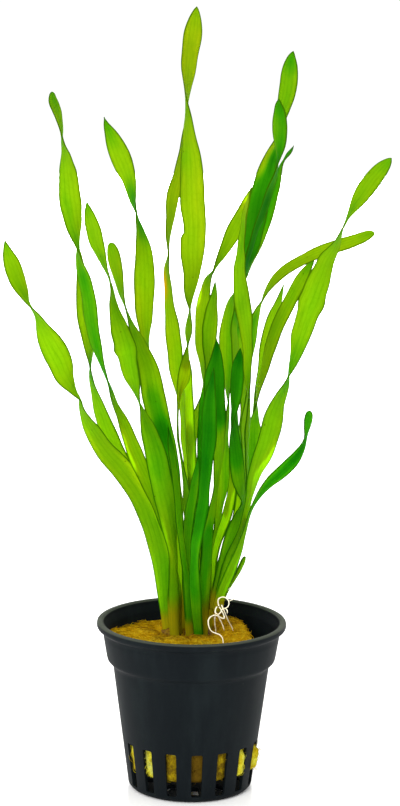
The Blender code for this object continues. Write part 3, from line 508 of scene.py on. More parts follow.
def set_attribute(mesh: bpy.types.Mesh, name: str, values: np.ndarray) -> None:
    """Give a lofted mesh a number or a vector for each point, and its poles the nearest one.

    Args:
        mesh: Mesh made by loft.
        name: Name of the attribute.
        values: One row for each ring, one value or vector for each of its points.
    """
    vector = values.ndim == 3
    flat = values.reshape(-1, 3) if vector else values.reshape(-1)
    flat = np.concatenate([flat, flat[:1], flat[-1:]])
    kind, field = ("FLOAT_VECTOR", "vector") if vector else ("FLOAT", "value")
    made = mesh.attributes.new(name, kind, "POINT")
    made.data.foreach_set(field, flat.astype(np.float32).ravel())


def smooth_path(points: np.ndarray, steps: int) -> np.ndarray:
    """Run a smooth curve through rows of points, spaced by their first two columns.

    Args:
        points: Rows to pass through.
        steps: Steps between two rows.

    Returns:
        The rows of the curve, which include the given ones.
    """
    lead = np.vstack([2 * points[0] - points[1], points, 2 * points[-1] - points[-2]])
    chord = np.maximum(np.linalg.norm(np.diff(lead, axis=0)[:, :2], axis=1), 1e-6)
    rate = np.diff(lead, axis=0) / chord[:, None]
    slope = (rate[:-1] * chord[1:, None] + rate[1:] * chord[:-1, None]) / (chord[:-1] + chord[1:])[:, None]
    t = (np.arange(steps) / steps)[:, None]
    pieces = []
    for here, there, leave, arrive, run in zip(points, points[1:], slope, slope[1:], chord[1:]):
        pieces.append((2 * t**3 - 3 * t**2 + 1) * here + (t**3 - 2 * t**2 + t) * leave * run
                      + (3 * t**2 - 2 * t**3) * there + (t**3 - t**2) * arrive * run)
    return np.vstack([*pieces, points[-1:]])


def rounded(corners: list[tuple[float, float]], radius: float, steps: int = 3) -> np.ndarray:
    """Round the inner corners of an open outline with short curves.

    Args:
        corners: Points of the outline as (radius, height) in mm.
        radius: How far from each corner the rounding starts, where there is room.
        steps: Steps in each rounded corner.

    Returns:
        The rounded outline.
    """
    outline = [np.array(corner, float) for corner in corners]
    made = [outline[0]]
    for before, corner, after in zip(outline, outline[1:], outline[2:]):
        reach_in = min(radius, np.linalg.norm(before - corner) * 0.45)
        reach_out = min(radius, np.linalg.norm(after - corner) * 0.45)
        start = corner + (before - corner) / np.linalg.norm(before - corner) * reach_in
        end = corner + (after - corner) / np.linalg.norm(after - corner) * reach_out
        for t in np.linspace(0, 1, steps + 1):
            made.append((1 - t) ** 2 * start + 2 * t * (1 - t) * corner + t**2 * end)
    return np.array(made + [outline[-1]])


def from_eye(flat: np.ndarray, depth: np.ndarray) -> np.ndarray:
    """Slide points of the upright plane along their lines of sight.

    Args:
        flat: Rows of (across, up) in mm on the upright plane through the pot's axis.
        depth: How far each point lies behind that plane, in mm.

    Returns:
        Rows of (x, y, z) in mm.
    """
    eye = np.array(EYE)
    on_plane = np.stack([flat[:, 0], np.zeros(len(flat)), flat[:, 1]], axis=1)
    return eye + (on_plane - eye) * (1 + depth / -EYE.y)[:, None]


def lumps(points: np.ndarray, size_mm: float, octaves: int = 3) -> np.ndarray:
    """Give a smooth random height from about -1 to 1 at each point.

    Args:
        points: Rows of (x, y, z) in mm.
        size_mm: Size of the largest lumps.
        octaves: How many finer layers are added.

    Returns:
        One height for each point.
    """
    return np.array([noise.fractal(Vector(p) / size_mm, 1.0, 2.0, octaves) for p in points])


def ring_of_openings_tree() -> bpy.types.GeometryNodeTree:
    """Build the node tree that stands a ring of rounded wedge cutters about the pot's axis.

    Returns:
        The tree. Its inputs are the count, the first angle, the tilt and centre of the outline,
        its length and two widths, its corner radius, the depth it is cut to and its finish.
    """
    tree = bpy.data.node_groups.new("ring_of_openings", "GeometryNodeTree")
    sockets = (("Count", "NodeSocketInt"), ("First Angle", "NodeSocketFloat"), ("Tilt", "NodeSocketFloat"),
               ("Centre", "NodeSocketVector"), ("Length", "NodeSocketFloat"),
               ("Foot Width", "NodeSocketFloat"), ("Top Width", "NodeSocketFloat"),
               ("Corner Radius", "NodeSocketFloat"), ("Depth", "NodeSocketFloat"),
               ("Finish", "NodeSocketMaterial"))
    for name, kind in sockets:
        tree.interface.new_socket(name, in_out="INPUT", socket_type=kind)
    tree.interface.new_socket("Geometry", in_out="OUTPUT", socket_type="NodeSocketGeometry")
    given = add_node(tree, "NodeGroupInput").outputs
    outline = add_node(tree, "GeometryNodeCurvePrimitiveQuadrilateral", {"mode": "TRAPEZOID"},
                       {"Height": given["Length"], "Bottom Width": given["Foot Width"],
                        "Top Width": given["Top Width"], "Offset": 0.0})
    softened = add_node(tree, "GeometryNodeFilletCurve", {"mode": "POLY"},
                        {"Curve": outline.outputs[0], "Radius": given["Corner Radius"], "Count": 4})
    face = add_node(tree, "GeometryNodeFillCurve", {"mode": "NGONS"}, {0: softened.outputs[0]})
    walls = add_node(tree, "GeometryNodeExtrudeMesh", {"mode": "FACES"},
                     {"Mesh": face.outputs[0], "Offset Scale": given["Depth"], "Individual": False})
    back = add_node(tree, "GeometryNodeFlipFaces", {}, {0: face.outputs[0]})
    shell = add_node(tree, "GeometryNodeJoinGeometry", {}, {0: back.outputs[0]})
    tree.links.new(walls.outputs["Mesh"], shell.inputs[0])
    closed = add_node(tree, "GeometryNodeMergeByDistance", {}, {"Geometry": shell.outputs[0],
                                                               "Distance": 0.000001})
    tilt = add_node(tree, "ShaderNodeCombineXYZ", {}, {0: given["Tilt"]})
    stood = add_node(tree, "GeometryNodeTransform", {}, {"Geometry": closed.outputs[0],
                                                         "Translation": given["Centre"],
                                                         "Rotation": tilt.outputs[0]})
    spots = add_node(tree, "GeometryNodePoints", {}, {"Count": given["Count"]})
    share = add_node(tree, "ShaderNodeMath", {"operation": "DIVIDE"},
                     {0: add_node(tree, "GeometryNodeInputIndex").outputs[0], 1: given["Count"]})
    turn = add_node(tree, "ShaderNodeMath", {"operation": "MULTIPLY_ADD"},
                    {0: share.outputs[0], 1: 2 * math.pi, 2: given["First Angle"]})
    about_z = add_node(tree, "ShaderNodeCombineXYZ", {}, {2: turn.outputs[0]})
    rotation = add_node(tree, "FunctionNodeEulerToRotation", {}, {0: about_z.outputs[0]})
    ring = add_node(tree, "GeometryNodeInstanceOnPoints", {},
                    {"Points": spots.outputs[0], "Instance": stood.outputs[0],
                     "Rotation": rotation.outputs[0]})
    solid = add_node(tree, "GeometryNodeRealizeInstances", {}, {"Geometry": ring.outputs[0]})
    dressed = add_node(tree, "GeometryNodeSetMaterial", {}, {"Geometry": solid.outputs[0],
                                                             "Material": given["Finish"]})
    add_node(tree, "NodeGroupOutput", {}, {0: dressed.outputs[0]})
    return tree


def grown_mesh(tree: bpy.types.GeometryNodeTree, sizes: dict[str, Any],
               base: bpy.types.Mesh | None = None) -> bpy.types.Mesh:
    """Run a Geometry Nodes tree with its sizes and give the result as a plain mesh.

    Args:
        tree: Tree to run.
        sizes: Value of each named input.
        base: Mesh that the tree grows on, if it needs one.

    Returns:
        The resulting mesh.
    """
    carrier = bpy.data.objects.new(tree.name, base or bpy.data.meshes.new(tree.name))
    bpy.context.scene.collection.objects.link(carrier)
    modifier = carrier.modifiers.new(tree.name, "NODES")
    modifier.node_group = tree
    for item in tree.interface.items_tree:
        if item.in_out == "INPUT" and item.name in sizes:
            modifier[item.identifier] = sizes[item.name]
    carrier.update_tag()
    mesh = baked_mesh(carrier)
    bpy.data.objects.remove(carrier)
    return mesh


@dataclass
class NetPot:
    """The moulded net pot: a turned wall with a rolled rim, slots round its foot and floor vents."""

    segments: int = 192
    corner_mm: float = 0.45
    slot_count: int = 16
    slot_foot: float = 1.7
    slot_top: float = 14.8
    slot_foot_width: float = 3.0
    slot_top_width: float = 3.3
    slot_inner_radius: float = 15.0
    slot_reach: float = 9.0
    vent_count: int = 8
    vent_width: float = 3.0
    vent_inner_radius: float = 7.5
    vent_outer_radius: float = 14.5
    corner_radius: float = 0.5
    gate_radius: float = 1.5
    gate_drop: float = 0.25

    def body_radius(self, height: float) -> float:
        """Give the outer radius of the tapered body at a height in mm."""
        share = (height - BODY_FOOT_HEIGHT) / (BODY_TOP_HEIGHT - BODY_FOOT_HEIGHT)
        return BODY_FOOT_RADIUS + (BODY_TOP_RADIUS - BODY_FOOT_RADIUS) * share

    def profile(self) -> np.ndarray:
        """Give the wall section, from the inner floor over the rim to the underside."""
        inner = [
            (0.4, POT_FLOOR),
            (self.body_radius(POT_FLOOR + 0.6) - POT_WALL, POT_FLOOR),
            (BODY_TOP_RADIUS - POT_WALL, BODY_TOP_HEIGHT + 0.2),
            (COLLAR_FOOT_RADIUS - POT_WALL, COLLAR_FOOT_HEIGHT + 0.4),
            (COLLAR_TOP_RADIUS - POT_WALL, 46.2),
            (COLLAR_TOP_RADIUS - 0.1, 48.4),
            (COLLAR_TOP_RADIUS + 0.05, 49.25),
        ]
        rim = [
            (COLLAR_TOP_RADIUS + 0.45, 49.25),
            (COLLAR_TOP_RADIUS + 0.55, POT_HEIGHT),
            (RIM_RADIUS - 0.25, POT_HEIGHT),
            (RIM_RADIUS, 49.0),
            (RIM_RADIUS, 47.9),
            (RIM_RADIUS - 0.7, 47.2),
            (COLLAR_TOP_RADIUS + 0.35, 46.9),
        ]
        outer = [
            (COLLAR_TOP_RADIUS + 0.05, 46.0),
            (COLLAR_TOP_RADIUS, 44.7),
            (COLLAR_FOOT_RADIUS, COLLAR_FOOT_HEIGHT),
            (COLLAR_FOOT_RADIUS - 0.25, COLLAR_FOOT_HEIGHT - 0.75),
            (BODY_TOP_RADIUS + 0.35, BODY_TOP_HEIGHT + 0.7),
            (BODY_TOP_RADIUS, BODY_TOP_HEIGHT),
            (BODY_FOOT_RADIUS, BODY_FOOT_HEIGHT),
            (BODY_FOOT_RADIUS - 0.9, 0.0),
            (self.gate_radius + 0.3, 0.0),
            (self.gate_radius, self.gate_drop),
            (0.4, self.gate_drop),
        ]
        return rounded(inner + rim + outer, self.corner_mm)

    def turned_wall(self) -> bpy.types.Mesh:
        """Turn the section into the closed wall, before its openings are cut."""
        angles = np.linspace(0, 2 * math.pi, self.segments, endpoint=False)
        section = self.profile()
        around = np.stack([np.cos(angles), np.sin(angles)], axis=1)
        rings = np.empty((len(section), self.segments, 3))
        rings[:, :, :2] = section[:, None, :1] * around
        rings[:, :, 2] = section[:, 1:]
        return loft("net_pot", rings)

    def cutters(self, finish: bpy.types.Material) -> list[bpy.types.Object]:
        """Stand the ring of side slots and the ring of floor vents as cutter objects."""
        tree = ring_of_openings_tree()
        slots = {
            "Count": self.slot_count, "First Angle": FIRST_SLOT_ANGLE, "Tilt": math.pi / 2,
            "Centre": (0.0, -self.slot_inner_radius * MM, (self.slot_foot + self.slot_top) / 2 * MM),
            "Length": (self.slot_top - self.slot_foot) * MM, "Foot Width": self.slot_foot_width * MM,
            "Top Width": self.slot_top_width * MM, "Corner Radius": self.corner_radius * MM,
            "Depth": self.slot_reach * MM, "Finish": finish,
        }
        vents = {
            "Count": self.vent_count, "First Angle": FIRST_SLOT_ANGLE, "Tilt": 0.0,
            "Centre": (0.0, -(self.vent_inner_radius + self.vent_outer_radius) / 2 * MM, -1.0 * MM),
            "Length": (self.vent_outer_radius - self.vent_inner_radius) * MM,
            "Foot Width": self.vent_width * MM, "Top Width": self.vent_width * MM,
            "Corner Radius": self.corner_radius * MM, "Depth": (POT_FLOOR + 2.0) * MM, "Finish": finish,
        }
        made = []
        for name, sizes in (("slot_cutter", slots), ("vent_cutter", vents)):
            cutter = bpy.data.objects.new(name, grown_mesh(tree, sizes))
            bpy.context.scene.collection.objects.link(cutter)
            made.append(cutter)
        return made

    def build(self, finish: bpy.types.Material) -> bpy.types.Object:
        """Cut the openings through the wall and stand the pot for its CAD node.

        Args:
            finish: Plastic of the pot.

        Returns:
            The finished pot.
        """
        pot = add_piece("net_pot_moulding", self.turned_wall(), finish)
        tools = self.cutters(finish)
        for tool in tools:
            cut = pot.modifiers.new(tool.name, "BOOLEAN")
            cut.operation = "DIFFERENCE"
            cut.solver = "EXACT"
            cut.object = tool
        pot.data = baked_mesh(pot)
        pot.modifiers.clear()
        for tool in tools:
            bpy.data.objects.remove(tool)
        pot.data.shade_smooth()
        pot.data.set_sharp_from_angle(angle=math.radians(38))
        settle(pot, "pot_plastic", "net_pot")
        return pot


def fibre_coat_tree() -> bpy.types.GeometryNodeTree:
    """Build the node tree that scatters curved fibres over a surface.

    Returns:
        The tree. Its inputs are the surface, the fibres' density, length, thickness, lift and
        seed, and their finish. The surface's own fluff attribute thins them out.
    """
    tree = bpy.data.node_groups.new("fibre_coat", "GeometryNodeTree")
    sockets = (("Surface", "NodeSocketGeometry"), ("Density", "NodeSocketFloat"),
               ("Length", "NodeSocketFloat"), ("Thickness", "NodeSocketFloat"),
               ("Lift", "NodeSocketFloat"), ("Seed", "NodeSocketInt"), ("Finish", "NodeSocketMaterial"))
    for name, kind in sockets:
        tree.interface.new_socket(name, in_out="INPUT", socket_type=kind)
    tree.interface.new_socket("Geometry", in_out="OUTPUT", socket_type="NodeSocketGeometry")
    given = add_node(tree, "NodeGroupInput").outputs
    fluff = add_node(tree, "GeometryNodeInputNamedAttribute", {"data_type": "FLOAT"}, {"Name": "fluff"})
    thinned = add_node(tree, "ShaderNodeMath", {"operation": "MULTIPLY"},
                       {0: given["Density"], 1: fluff.outputs["Attribute"]})
    spots = add_node(tree, "GeometryNodeDistributePointsOnFaces", {"distribute_method": "RANDOM"},
                     {"Mesh": given["Surface"], "Density": thinned.outputs[0], "Seed": given["Seed"]})
    half = add_node(tree, "ShaderNodeMath", {"operation": "MULTIPLY"}, {0: given["Length"], 1: 0.5})
    start = add_node(tree, "ShaderNodeMath", {"operation": "MULTIPLY"}, {0: half.outputs[0], 1: -1.0})
    start_at = add_node(tree, "ShaderNodeCombineXYZ", {}, {0: start.outputs[0]})
    middle_at = add_node(tree, "ShaderNodeCombineXYZ", {}, {1: start.outputs[0], 2: given["Lift"]})
    end_at = add_node(tree, "ShaderNodeCombineXYZ", {}, {0: half.outputs[0]})
    bend = add_node(tree, "GeometryNodeCurveQuadraticBezier", {},
                    {"Resolution": 4, "Start": start_at.outputs[0], "Middle": middle_at.outputs[0],
                     "End": end_at.outputs[0]})
    section = add_node(tree, "GeometryNodeCurvePrimitiveCircle", {"mode": "RADIUS"},
                       {"Resolution": 3, "Radius": given["Thickness"]})
    strand = add_node(tree, "GeometryNodeCurveToMesh", {},
                      {"Curve": bend.outputs[0], "Profile Curve": section.outputs["Curve"],
                       "Fill Caps": True})
    turn = add_node(tree, "FunctionNodeRandomValue", {"data_type": "FLOAT_VECTOR"},
                    {0: (-0.5, -0.35, 0.0), 1: (0.5, 0.35, 2 * math.pi), "Seed": given["Seed"]})
    local = add_node(tree, "FunctionNodeEulerToRotation", {}, {0: turn.outputs[0]})
    facing = add_node(tree, "FunctionNodeRotateRotation", {"rotation_space": "LOCAL"},
                      {0: spots.outputs["Rotation"], 1: local.outputs[0]})
    size = add_node(tree, "FunctionNodeRandomValue", {"data_type": "FLOAT"},
                    {2: 0.55, 3: 1.5, "Seed": given["Seed"]})
    coat = add_node(tree, "GeometryNodeInstanceOnPoints", {},
                    {"Points": spots.outputs["Points"], "Instance": strand.outputs[0],
                     "Rotation": facing.outputs[0], "Scale": size.outputs[1]})
    solid = add_node(tree, "GeometryNodeRealizeInstances", {}, {"Geometry": coat.outputs[0]})
    dressed = add_node(tree, "GeometryNodeSetMaterial", {}, {"Geometry": solid.outputs[0],
                                                             "Material": given["Finish"]})
    add_node(tree, "NodeGroupOutput", {}, {0: dressed.outputs[0]})
    return tree


@dataclass
class RockWoolPlug:
    """The rock wool that fills the pot, pressed in on the right and hollowed under the leaves."""

    foot: float = 5.6
    top: float = 45.0
    gap: float = 0.25
    back_rise: float = 1.2
    top_radius: float = 23.6
    notch_depth: float = 6.4
    notch_angle: float = math.radians(5)
    notch_spread: float = math.radians(42)
    bed_centre: tuple[float, float] = (-1.6, 7.8)
    bed_radii: tuple[float, float] = (10.4, 9.4)
    bed_floor: float = 43.0
    segments: int = 240
    crack: tuple[tuple[float, float], ...] = ((-15.1, 6), (-13, 5), (-9.2, 1.9), (-3.9, -2.3), (-1, -5))
    # Slot by slot: the painted light or shade of the wool low in it, and how much browner it is
    slot_looks: tuple[tuple[int, float, float], ...] = (
        (0, -0.42, 0.55), (1, -0.22, 0.32), (2, 0.06, 0.0), (3, 0.02, 0.0), (4, 0.14, 0.0),
        (13, 0.02, 0.1), (14, 0.2, 0.0), (15, -0.18, 0.3))
    slot_swells: tuple[tuple[int, float], ...] = (
        (1, 0.5), (2, 1.9), (3, 2.7), (4, 0.9), (13, 0.9), (14, 0.9), (15, 0.5))
    fibre_count: float = 2.6e6
    fibre_length: float = 2.6
    fibre_radius: float = 0.055
    fibre_lift: float = 0.7
    seed: int = 11

    def notch(self, angle: np.ndarray, height: np.ndarray) -> np.ndarray:
        """Give how far in mm the wool stands short of the pot's wall."""
        off = (angle - self.notch_angle + math.pi) % (2 * math.pi) - math.pi
        return self.notch_depth * np.exp(-(off / self.notch_spread) ** 4) * smoothstep(24, 38, height)

    def surface_height(self, across: np.ndarray, back: np.ndarray) -> np.ndarray:
        """Give the height of the uneven top: higher at the left, a mound at the right, a bed."""
        left_rise = 0.35 * np.exp(-((across + 19) ** 2 + (back - 1) ** 2) / 50)
        right_mound = 0.6 * np.exp(-((across - 12) ** 2 + (back - 8) ** 2) / 40)
        ripple = 0.35 * np.sin(0.55 * across + 1.0) * np.cos(0.48 * back)
        away = self.off_bed(across, back)
        left_dip = 1.5 * smoothstep(2, 13, back) * smoothstep(4, -6, across)
        level = self.top + left_rise + right_mound + ripple - left_dip
        return level + (self.bed_floor - level) * (1 - smoothstep(0.8, 1.15, away))

    def off_bed(self, across: np.ndarray, back: np.ndarray) -> np.ndarray:
        """Give how far out each spot lies from the plants' bed, which ends at 1."""
        return np.hypot((across - self.bed_centre[0]) / self.bed_radii[0],
                        (back - self.bed_centre[1]) / self.bed_radii[1])

    def off_crack(self, across: np.ndarray, back: np.ndarray) -> np.ndarray:
        """Give each spot's distance in mm from the brown crack across the top."""
        spots = np.stack([across, back], axis=-1)
        nearest = np.full(across.shape, 1e3)
        for start, end in zip(self.crack, self.crack[1:]):
            a, run = np.array(start), np.array(end) - np.array(start)
            share = np.clip(((spots - a) @ run) / (run @ run), 0, 1)
            nearest = np.minimum(nearest, np.linalg.norm(spots - a - share[..., None] * run, axis=-1))
        return nearest

    def section(self) -> np.ndarray:
        """Give the plug's section: (share of the radius, height, is top) from axis to axis."""
        pot = NetPot()
        inset = POT_WALL + self.gap
        top = [(radius, self.top) for radius in np.linspace(0.6, self.top_radius - 1.0, 46)]
        side = [(self.top_radius - 0.4, self.top - 0.25), (self.top_radius, self.top - 1.2)]
        side += [(COLLAR_FOOT_RADIUS - inset + 0.1 * (h - 39.2), h) for h in np.linspace(42.4, 39.4, 5)]
        side += [(pot.body_radius(h) - inset, h) for h in np.linspace(36.6, self.foot + 1.0, 44)]
        side += [(pot.body_radius(self.foot) - inset - 0.5, self.foot + 0.25)]
        side += [(radius, self.foot) for radius in np.linspace(16.2, 0.6, 14)]
        return np.array(top + side)

    def build(self, finish: bpy.types.Material) -> list[bpy.types.Object]:
        """Shape the plug, colour it by place and coat it with loose fibres.

        Args:
            finish: Rock wool.

        Returns:
            The plug and its coat of fibres.
        """
        section = self.section()
        angles = np.linspace(0, 2 * math.pi, self.segments, endpoint=False)
        radius = np.repeat(section[:, :1], self.segments, axis=1)
        height = np.repeat(section[:, 1:], self.segments, axis=1)
        turn = np.repeat(angles[None, :], len(section), axis=0)
        radius = radius - self.notch(turn, height) * radius / self.top_radius
        across, back = radius * np.cos(turn), radius * np.sin(turn)
        on_top = smoothstep(self.top - 1.4, self.top - 0.1, height)
        height = height + (self.surface_height(across, back) - self.top) * on_top
        height = height + self.back_rise * (1 + np.sin(turn)) / 2 * (1 - smoothstep(6, 14, height))

        # Hummocks on the top, shallow tufts on the sides and bulges through some of the slots
        points = np.stack([across, back, height], axis=-1)
        flat = points.reshape(-1, 3)
        hummock = lumps(flat, 4.2).reshape(height.shape)
        tuft = lumps(flat + 50, 1.6, 2).reshape(height.shape)
        crack = np.exp(-(self.off_crack(across, back) / 0.85) ** 2) * on_top
        away = self.off_bed(across, back)
        bed_edge = np.exp(-((away - 1.04) / 0.17) ** 2) * on_top * smoothstep(6, 1, back)
        points[..., 2] += on_top * (0.42 * hummock + 0.24 * tuft - 0.9 * crack)
        out = np.stack([np.cos(turn), np.sin(turn), np.zeros_like(turn)], axis=-1)
        inner = smoothstep(0, 4, radius) * (1 - on_top)
        points += out * (inner * (0.16 * tuft - 0.12))[..., None]
        for slot, push in self.slot_swells:
            middle = FIRST_SLOT_ANGLE + slot * SLOT_STEP - math.pi / 2
            off = (turn - middle + math.pi) % (2 * math.pi) - math.pi
            swell = np.exp(-(off * radius / 1.35) ** 4) * smoothstep(4.6, 7.5, height)
            swell = swell * (1 - smoothstep(12.2, 14.6, height)) * (radius > 15)
            points += out * (swell * push)[..., None]
        mesh = loft("rock_wool_felt", points)

        # Painted light: the front of the top, the wool low in the slots and the hummocks' tops are lighter
        front = smoothstep(6, -22, back) * on_top
        low = 1 - smoothstep(14, 22, height)
        light = -0.01 + 0.15 * front + low * 0.09 + 0.05 * hummock
        # Stain along the crack and in random patches, and painted shade in a ring round the front edge of
        # the plants' bed
        stain_and_shade = 1.1 * crack + 0.62 * bed_edge + 0.6 * smoothstep(0.2, 0.6, tuft * 0.5 + hummock * 0.5)
        # Each listed slot takes its own painted light or shade and its own browning
        for slot, lighter, browner in self.slot_looks:
            middle = FIRST_SLOT_ANGLE + slot * SLOT_STEP - math.pi / 2
            off = (turn - middle + math.pi) % (2 * math.pi) - math.pi
            here = np.exp(-(off / 0.15) ** 4) * low
            light = light + lighter * here
            stain_and_shade = stain_and_shade * (1 - here) + (stain_and_shade + browner) * here
        stain_and_shade = np.clip(stain_and_shade, 0, 0.9)
        fluff = np.clip(on_top * 1.0 + low * 0.14, 0.0, 1.0) * (height > self.foot + 0.5)
        fluff = fluff * (1 - np.clip(crack + 0.4 * bed_edge, 0, 0.95))
        set_attribute(mesh, "light", light)
        set_attribute(mesh, "stain_and_shade", stain_and_shade)
        set_attribute(mesh, "fresh", low)
        set_attribute(mesh, "fluff", fluff)
        plug = add_piece("rock_wool_felt", mesh, finish)
        coat_mesh = grown_mesh(fibre_coat_tree(), {
            "Density": self.fibre_count, "Length": self.fibre_length * MM,
            "Thickness": self.fibre_radius * MM, "Lift": self.fibre_lift * MM, "Seed": self.seed,
            "Finish": finish}, mesh.copy())
        coat = add_piece("rock_wool_fibres", coat_mesh, finish)
        settle(plug, "wool_fibre", "rock_wool")
        settle(coat, "wool_fibre")
        return [plug, coat]


@dataclass
class Crown:
    """The squat, ribbed stem that a plantlet's leaves and roots grow from."""

    name: str
    node: str
    centre: tuple[float, float, float]
    radii: tuple[float, float, float]
    rise: float
    ribs: int = 15
    rings: int = 22
    around: int = 60

    def build(self, finish: bpy.types.Material) -> bpy.types.Object:
        """Swell a dome, rib it like old leaf sheaths and stand it for its CAD node."""
        lean = np.linspace(0.03, math.pi - 0.03, self.rings)[:, None]
        turn = np.linspace(0, 2 * math.pi, self.around, endpoint=False)[None, :]
        ribbed = 1 + 0.045 * np.cos(self.ribs * turn + 2.0 * lean) * np.sin(lean)
        unit = np.stack([np.sin(lean) * np.cos(turn) * ribbed, np.sin(lean) * np.sin(turn) * ribbed,
                         np.cos(lean) * np.ones_like(turn)], axis=-1)
        radii = np.array(self.radii)
        points = np.array(self.centre) + unit * radii
        points[..., 2] += np.where(unit[..., 2] > 0, unit[..., 2] * (self.rise - radii[2]), 0.0)
        points += unit * 0.18 * lumps(points.reshape(-1, 3), 1.3, 2).reshape(points.shape[:2])[..., None]
        crown = add_piece(self.name, loft(self.name, points), finish)
        settle(crown, "crown_flesh", self.node)
        return crown


class Age(Enum):
    """How young the tissue of a leaf is, from fresh lime to deep old green. The darker ages are partly
    painted shade for leaves that stand inside the tuft.
    """

    LIME = -0.14
    YOUNG = -0.02
    GROWN = 0.12
    SHADED = 0.34
    DEEP = 0.6


class Foot(Enum):
    """How far a leaf pales at its foot: the height in mm that the pale part reaches."""

    GREEN = 0.0
    SHORT = 7.0
    PALE = 14.0
    LONG = 22.0


class Side(Enum):
    """The part of a blade's width that a patch covers, as it shows from the front."""

    LEFT = -1
    WHOLE = 0
    RIGHT = 1
    MIDDLE = 2


@dataclass(frozen=True)
class Patch:
    """A stretch of a blade with its own tone, between two heights on the upright plane.

    tone is added to the leaf's age, so it deepens the green where it is above nought, partly painted
    shade where other leaves overlap or shade the blade, and lightens it below, partly painted light.
    warm is how far the stretch has yellowed.
    """

    low: float
    high: float
    tone: float = 0.0
    side: Side = Side.WHOLE
    warm: float = 0.0
    fade: float = 7.0

    def cover(self, up: np.ndarray, across_front: np.ndarray) -> np.ndarray:
        """Give how far the patch covers each point, from 0 to 1.

        Args:
            up: Height of each ring on the upright plane in mm.
            across_front: Place of each point from -1, left, to 1, right, seen from the front.

        Returns:
            One value for each ring and point.
        """
        fade = min(self.fade, (self.high - self.low) / 2 + 0.01)
        opening = smoothstep(self.low, self.low + fade, up)
        stretch = opening * (1 - smoothstep(self.high - fade, self.high, up))
        if self.side is Side.WHOLE:
            return stretch[:, None] * np.ones_like(across_front)
        if self.side is Side.MIDDLE:
            return stretch[:, None] * (1 - smoothstep(0.35, 0.95, np.abs(across_front)))
        return stretch[:, None] * smoothstep(-0.35, 0.75, self.side.value * across_front)


@dataclass(frozen=True)
class Nick:
    """A bite out of one margin: its deepest height on the upright plane, its depth and its length."""

    up: float
    side: Side
    depth: float
    length: float

    def bite(self, up: np.ndarray, across_front: np.ndarray) -> np.ndarray:
        """Give how many mm of the margin are gone at each point, sharp below and drawn out above."""
        gone = smoothstep(self.up - 1.6, self.up, up) * (1 - smoothstep(self.up, self.up + self.length, up))
        return self.depth * gone[:, None] * np.clip(self.side.value * across_front, 0, 1) ** 2


@dataclass(frozen=True)
class Leaf:
    """One ribbon leaf, from its foot to its tip, in millimetres and degrees.

    depth gives how far back the foot, the first quarter, the middle and the tip lie. Each point
    is (across, up, turn) on the upright plane: turn 0 faces the eye, 90 is seen edge on, and each
    further 180 is another half twist.
    """

    name: str
    age: Age
    foot: Foot
    width: float
    tip_length: float
    bluntness: float
    foot_height: float
    depth: tuple[float, float, float, float]
    points: tuple[tuple[float, float, float], ...]
    patches: tuple[Patch, ...] = ()
    nicks: tuple[Nick, ...] = ()

    def depth_at(self, share: np.ndarray) -> np.ndarray:
        """Give the depth on a smooth bend through the foot, the first quarter, middle and tip."""
        stops = (0, 0.25, 0.5, 1)
        depth = np.zeros_like(share)
        for stop, value in zip(stops, self.depth):
            term = np.full_like(share, value)
            for other in stops:
                if other != stop:
                    term = term * (share - other) / (stop - other)
            depth += term
        return depth

    def width_at(self, along: np.ndarray, length: float) -> np.ndarray:
        """Give the width: narrow at the foot, full along the blade, drawn in over the tip."""
        to_tip = np.clip((length - along) / self.tip_length, 0, 1)
        tip_shape = (1 - (1 - to_tip) ** (1.6 + 0.4 * self.bluntness)) ** (1 - 0.5 * self.bluntness)
        foot_width = min(Foliage.foot_width, self.width * 0.8)
        blade = foot_width + (self.width - foot_width) * smoothstep(0, Foliage.foot_length, along)
        return blade * np.maximum(tip_shape, 0.05)

    def route(self, sunk: float, step: float) -> tuple[np.ndarray, np.ndarray, np.ndarray, np.ndarray]:
        """Follow the leaf from just under its foot to its tip.

        Args:
            sunk: How far in mm the foot runs on down into what holds it.
            step: Distance in mm between stations along the blade.

        Returns:
            Centre points, turns in radians, heights on the upright plane, and the run in mm from
            the foot, which is negative below it.
        """
        rows = np.array(self.points, float)
        rows[0, 1] = EYE.z + (self.foot_height - EYE.z) / (1 + self.depth[0] / -EYE.y)
        run = np.concatenate([[0], np.cumsum(np.linalg.norm(np.diff(rows[:, :2], axis=0), axis=1))])
        depth = self.depth_at(run / run[-1])
        rows = np.column_stack([rows[:, :2], depth, np.radians(rows[:, 2])])
        fine = smooth_path(rows, 24)
        centre = from_eye(fine[:, :2], fine[:, 2])
        along = np.concatenate([[0], np.cumsum(np.linalg.norm(np.diff(centre, axis=0), axis=1))])
        length, tip = along[-1], min(self.tip_length, 4.0)
        body = np.arange(0, length - tip, step)
        ease = np.sin(np.linspace(0, math.pi / 2, 16))
        stops = np.concatenate([body, body[-1] + (length - body[-1]) * ease[1:]])
        centre_at = np.stack([np.interp(stops, along, centre[:, axis]) for axis in range(3)], axis=1)
        turn_at = np.interp(stops, along, fine[:, 3])
        up_at = np.interp(stops, along, fine[:, 1])
        below = np.arange(-sunk, 0, step)
        heading = (centre[12] - centre[0]) / np.linalg.norm(centre[12] - centre[0])
        centre_at = np.vstack([centre[0] + below[:, None] * heading, centre_at])
        turn_at = np.concatenate([np.full(len(below), fine[0, 3]), turn_at])
        up_at = np.concatenate([fine[0, 1] + below, up_at])
        return centre_at, turn_at, up_at, np.concatenate([below, stops])


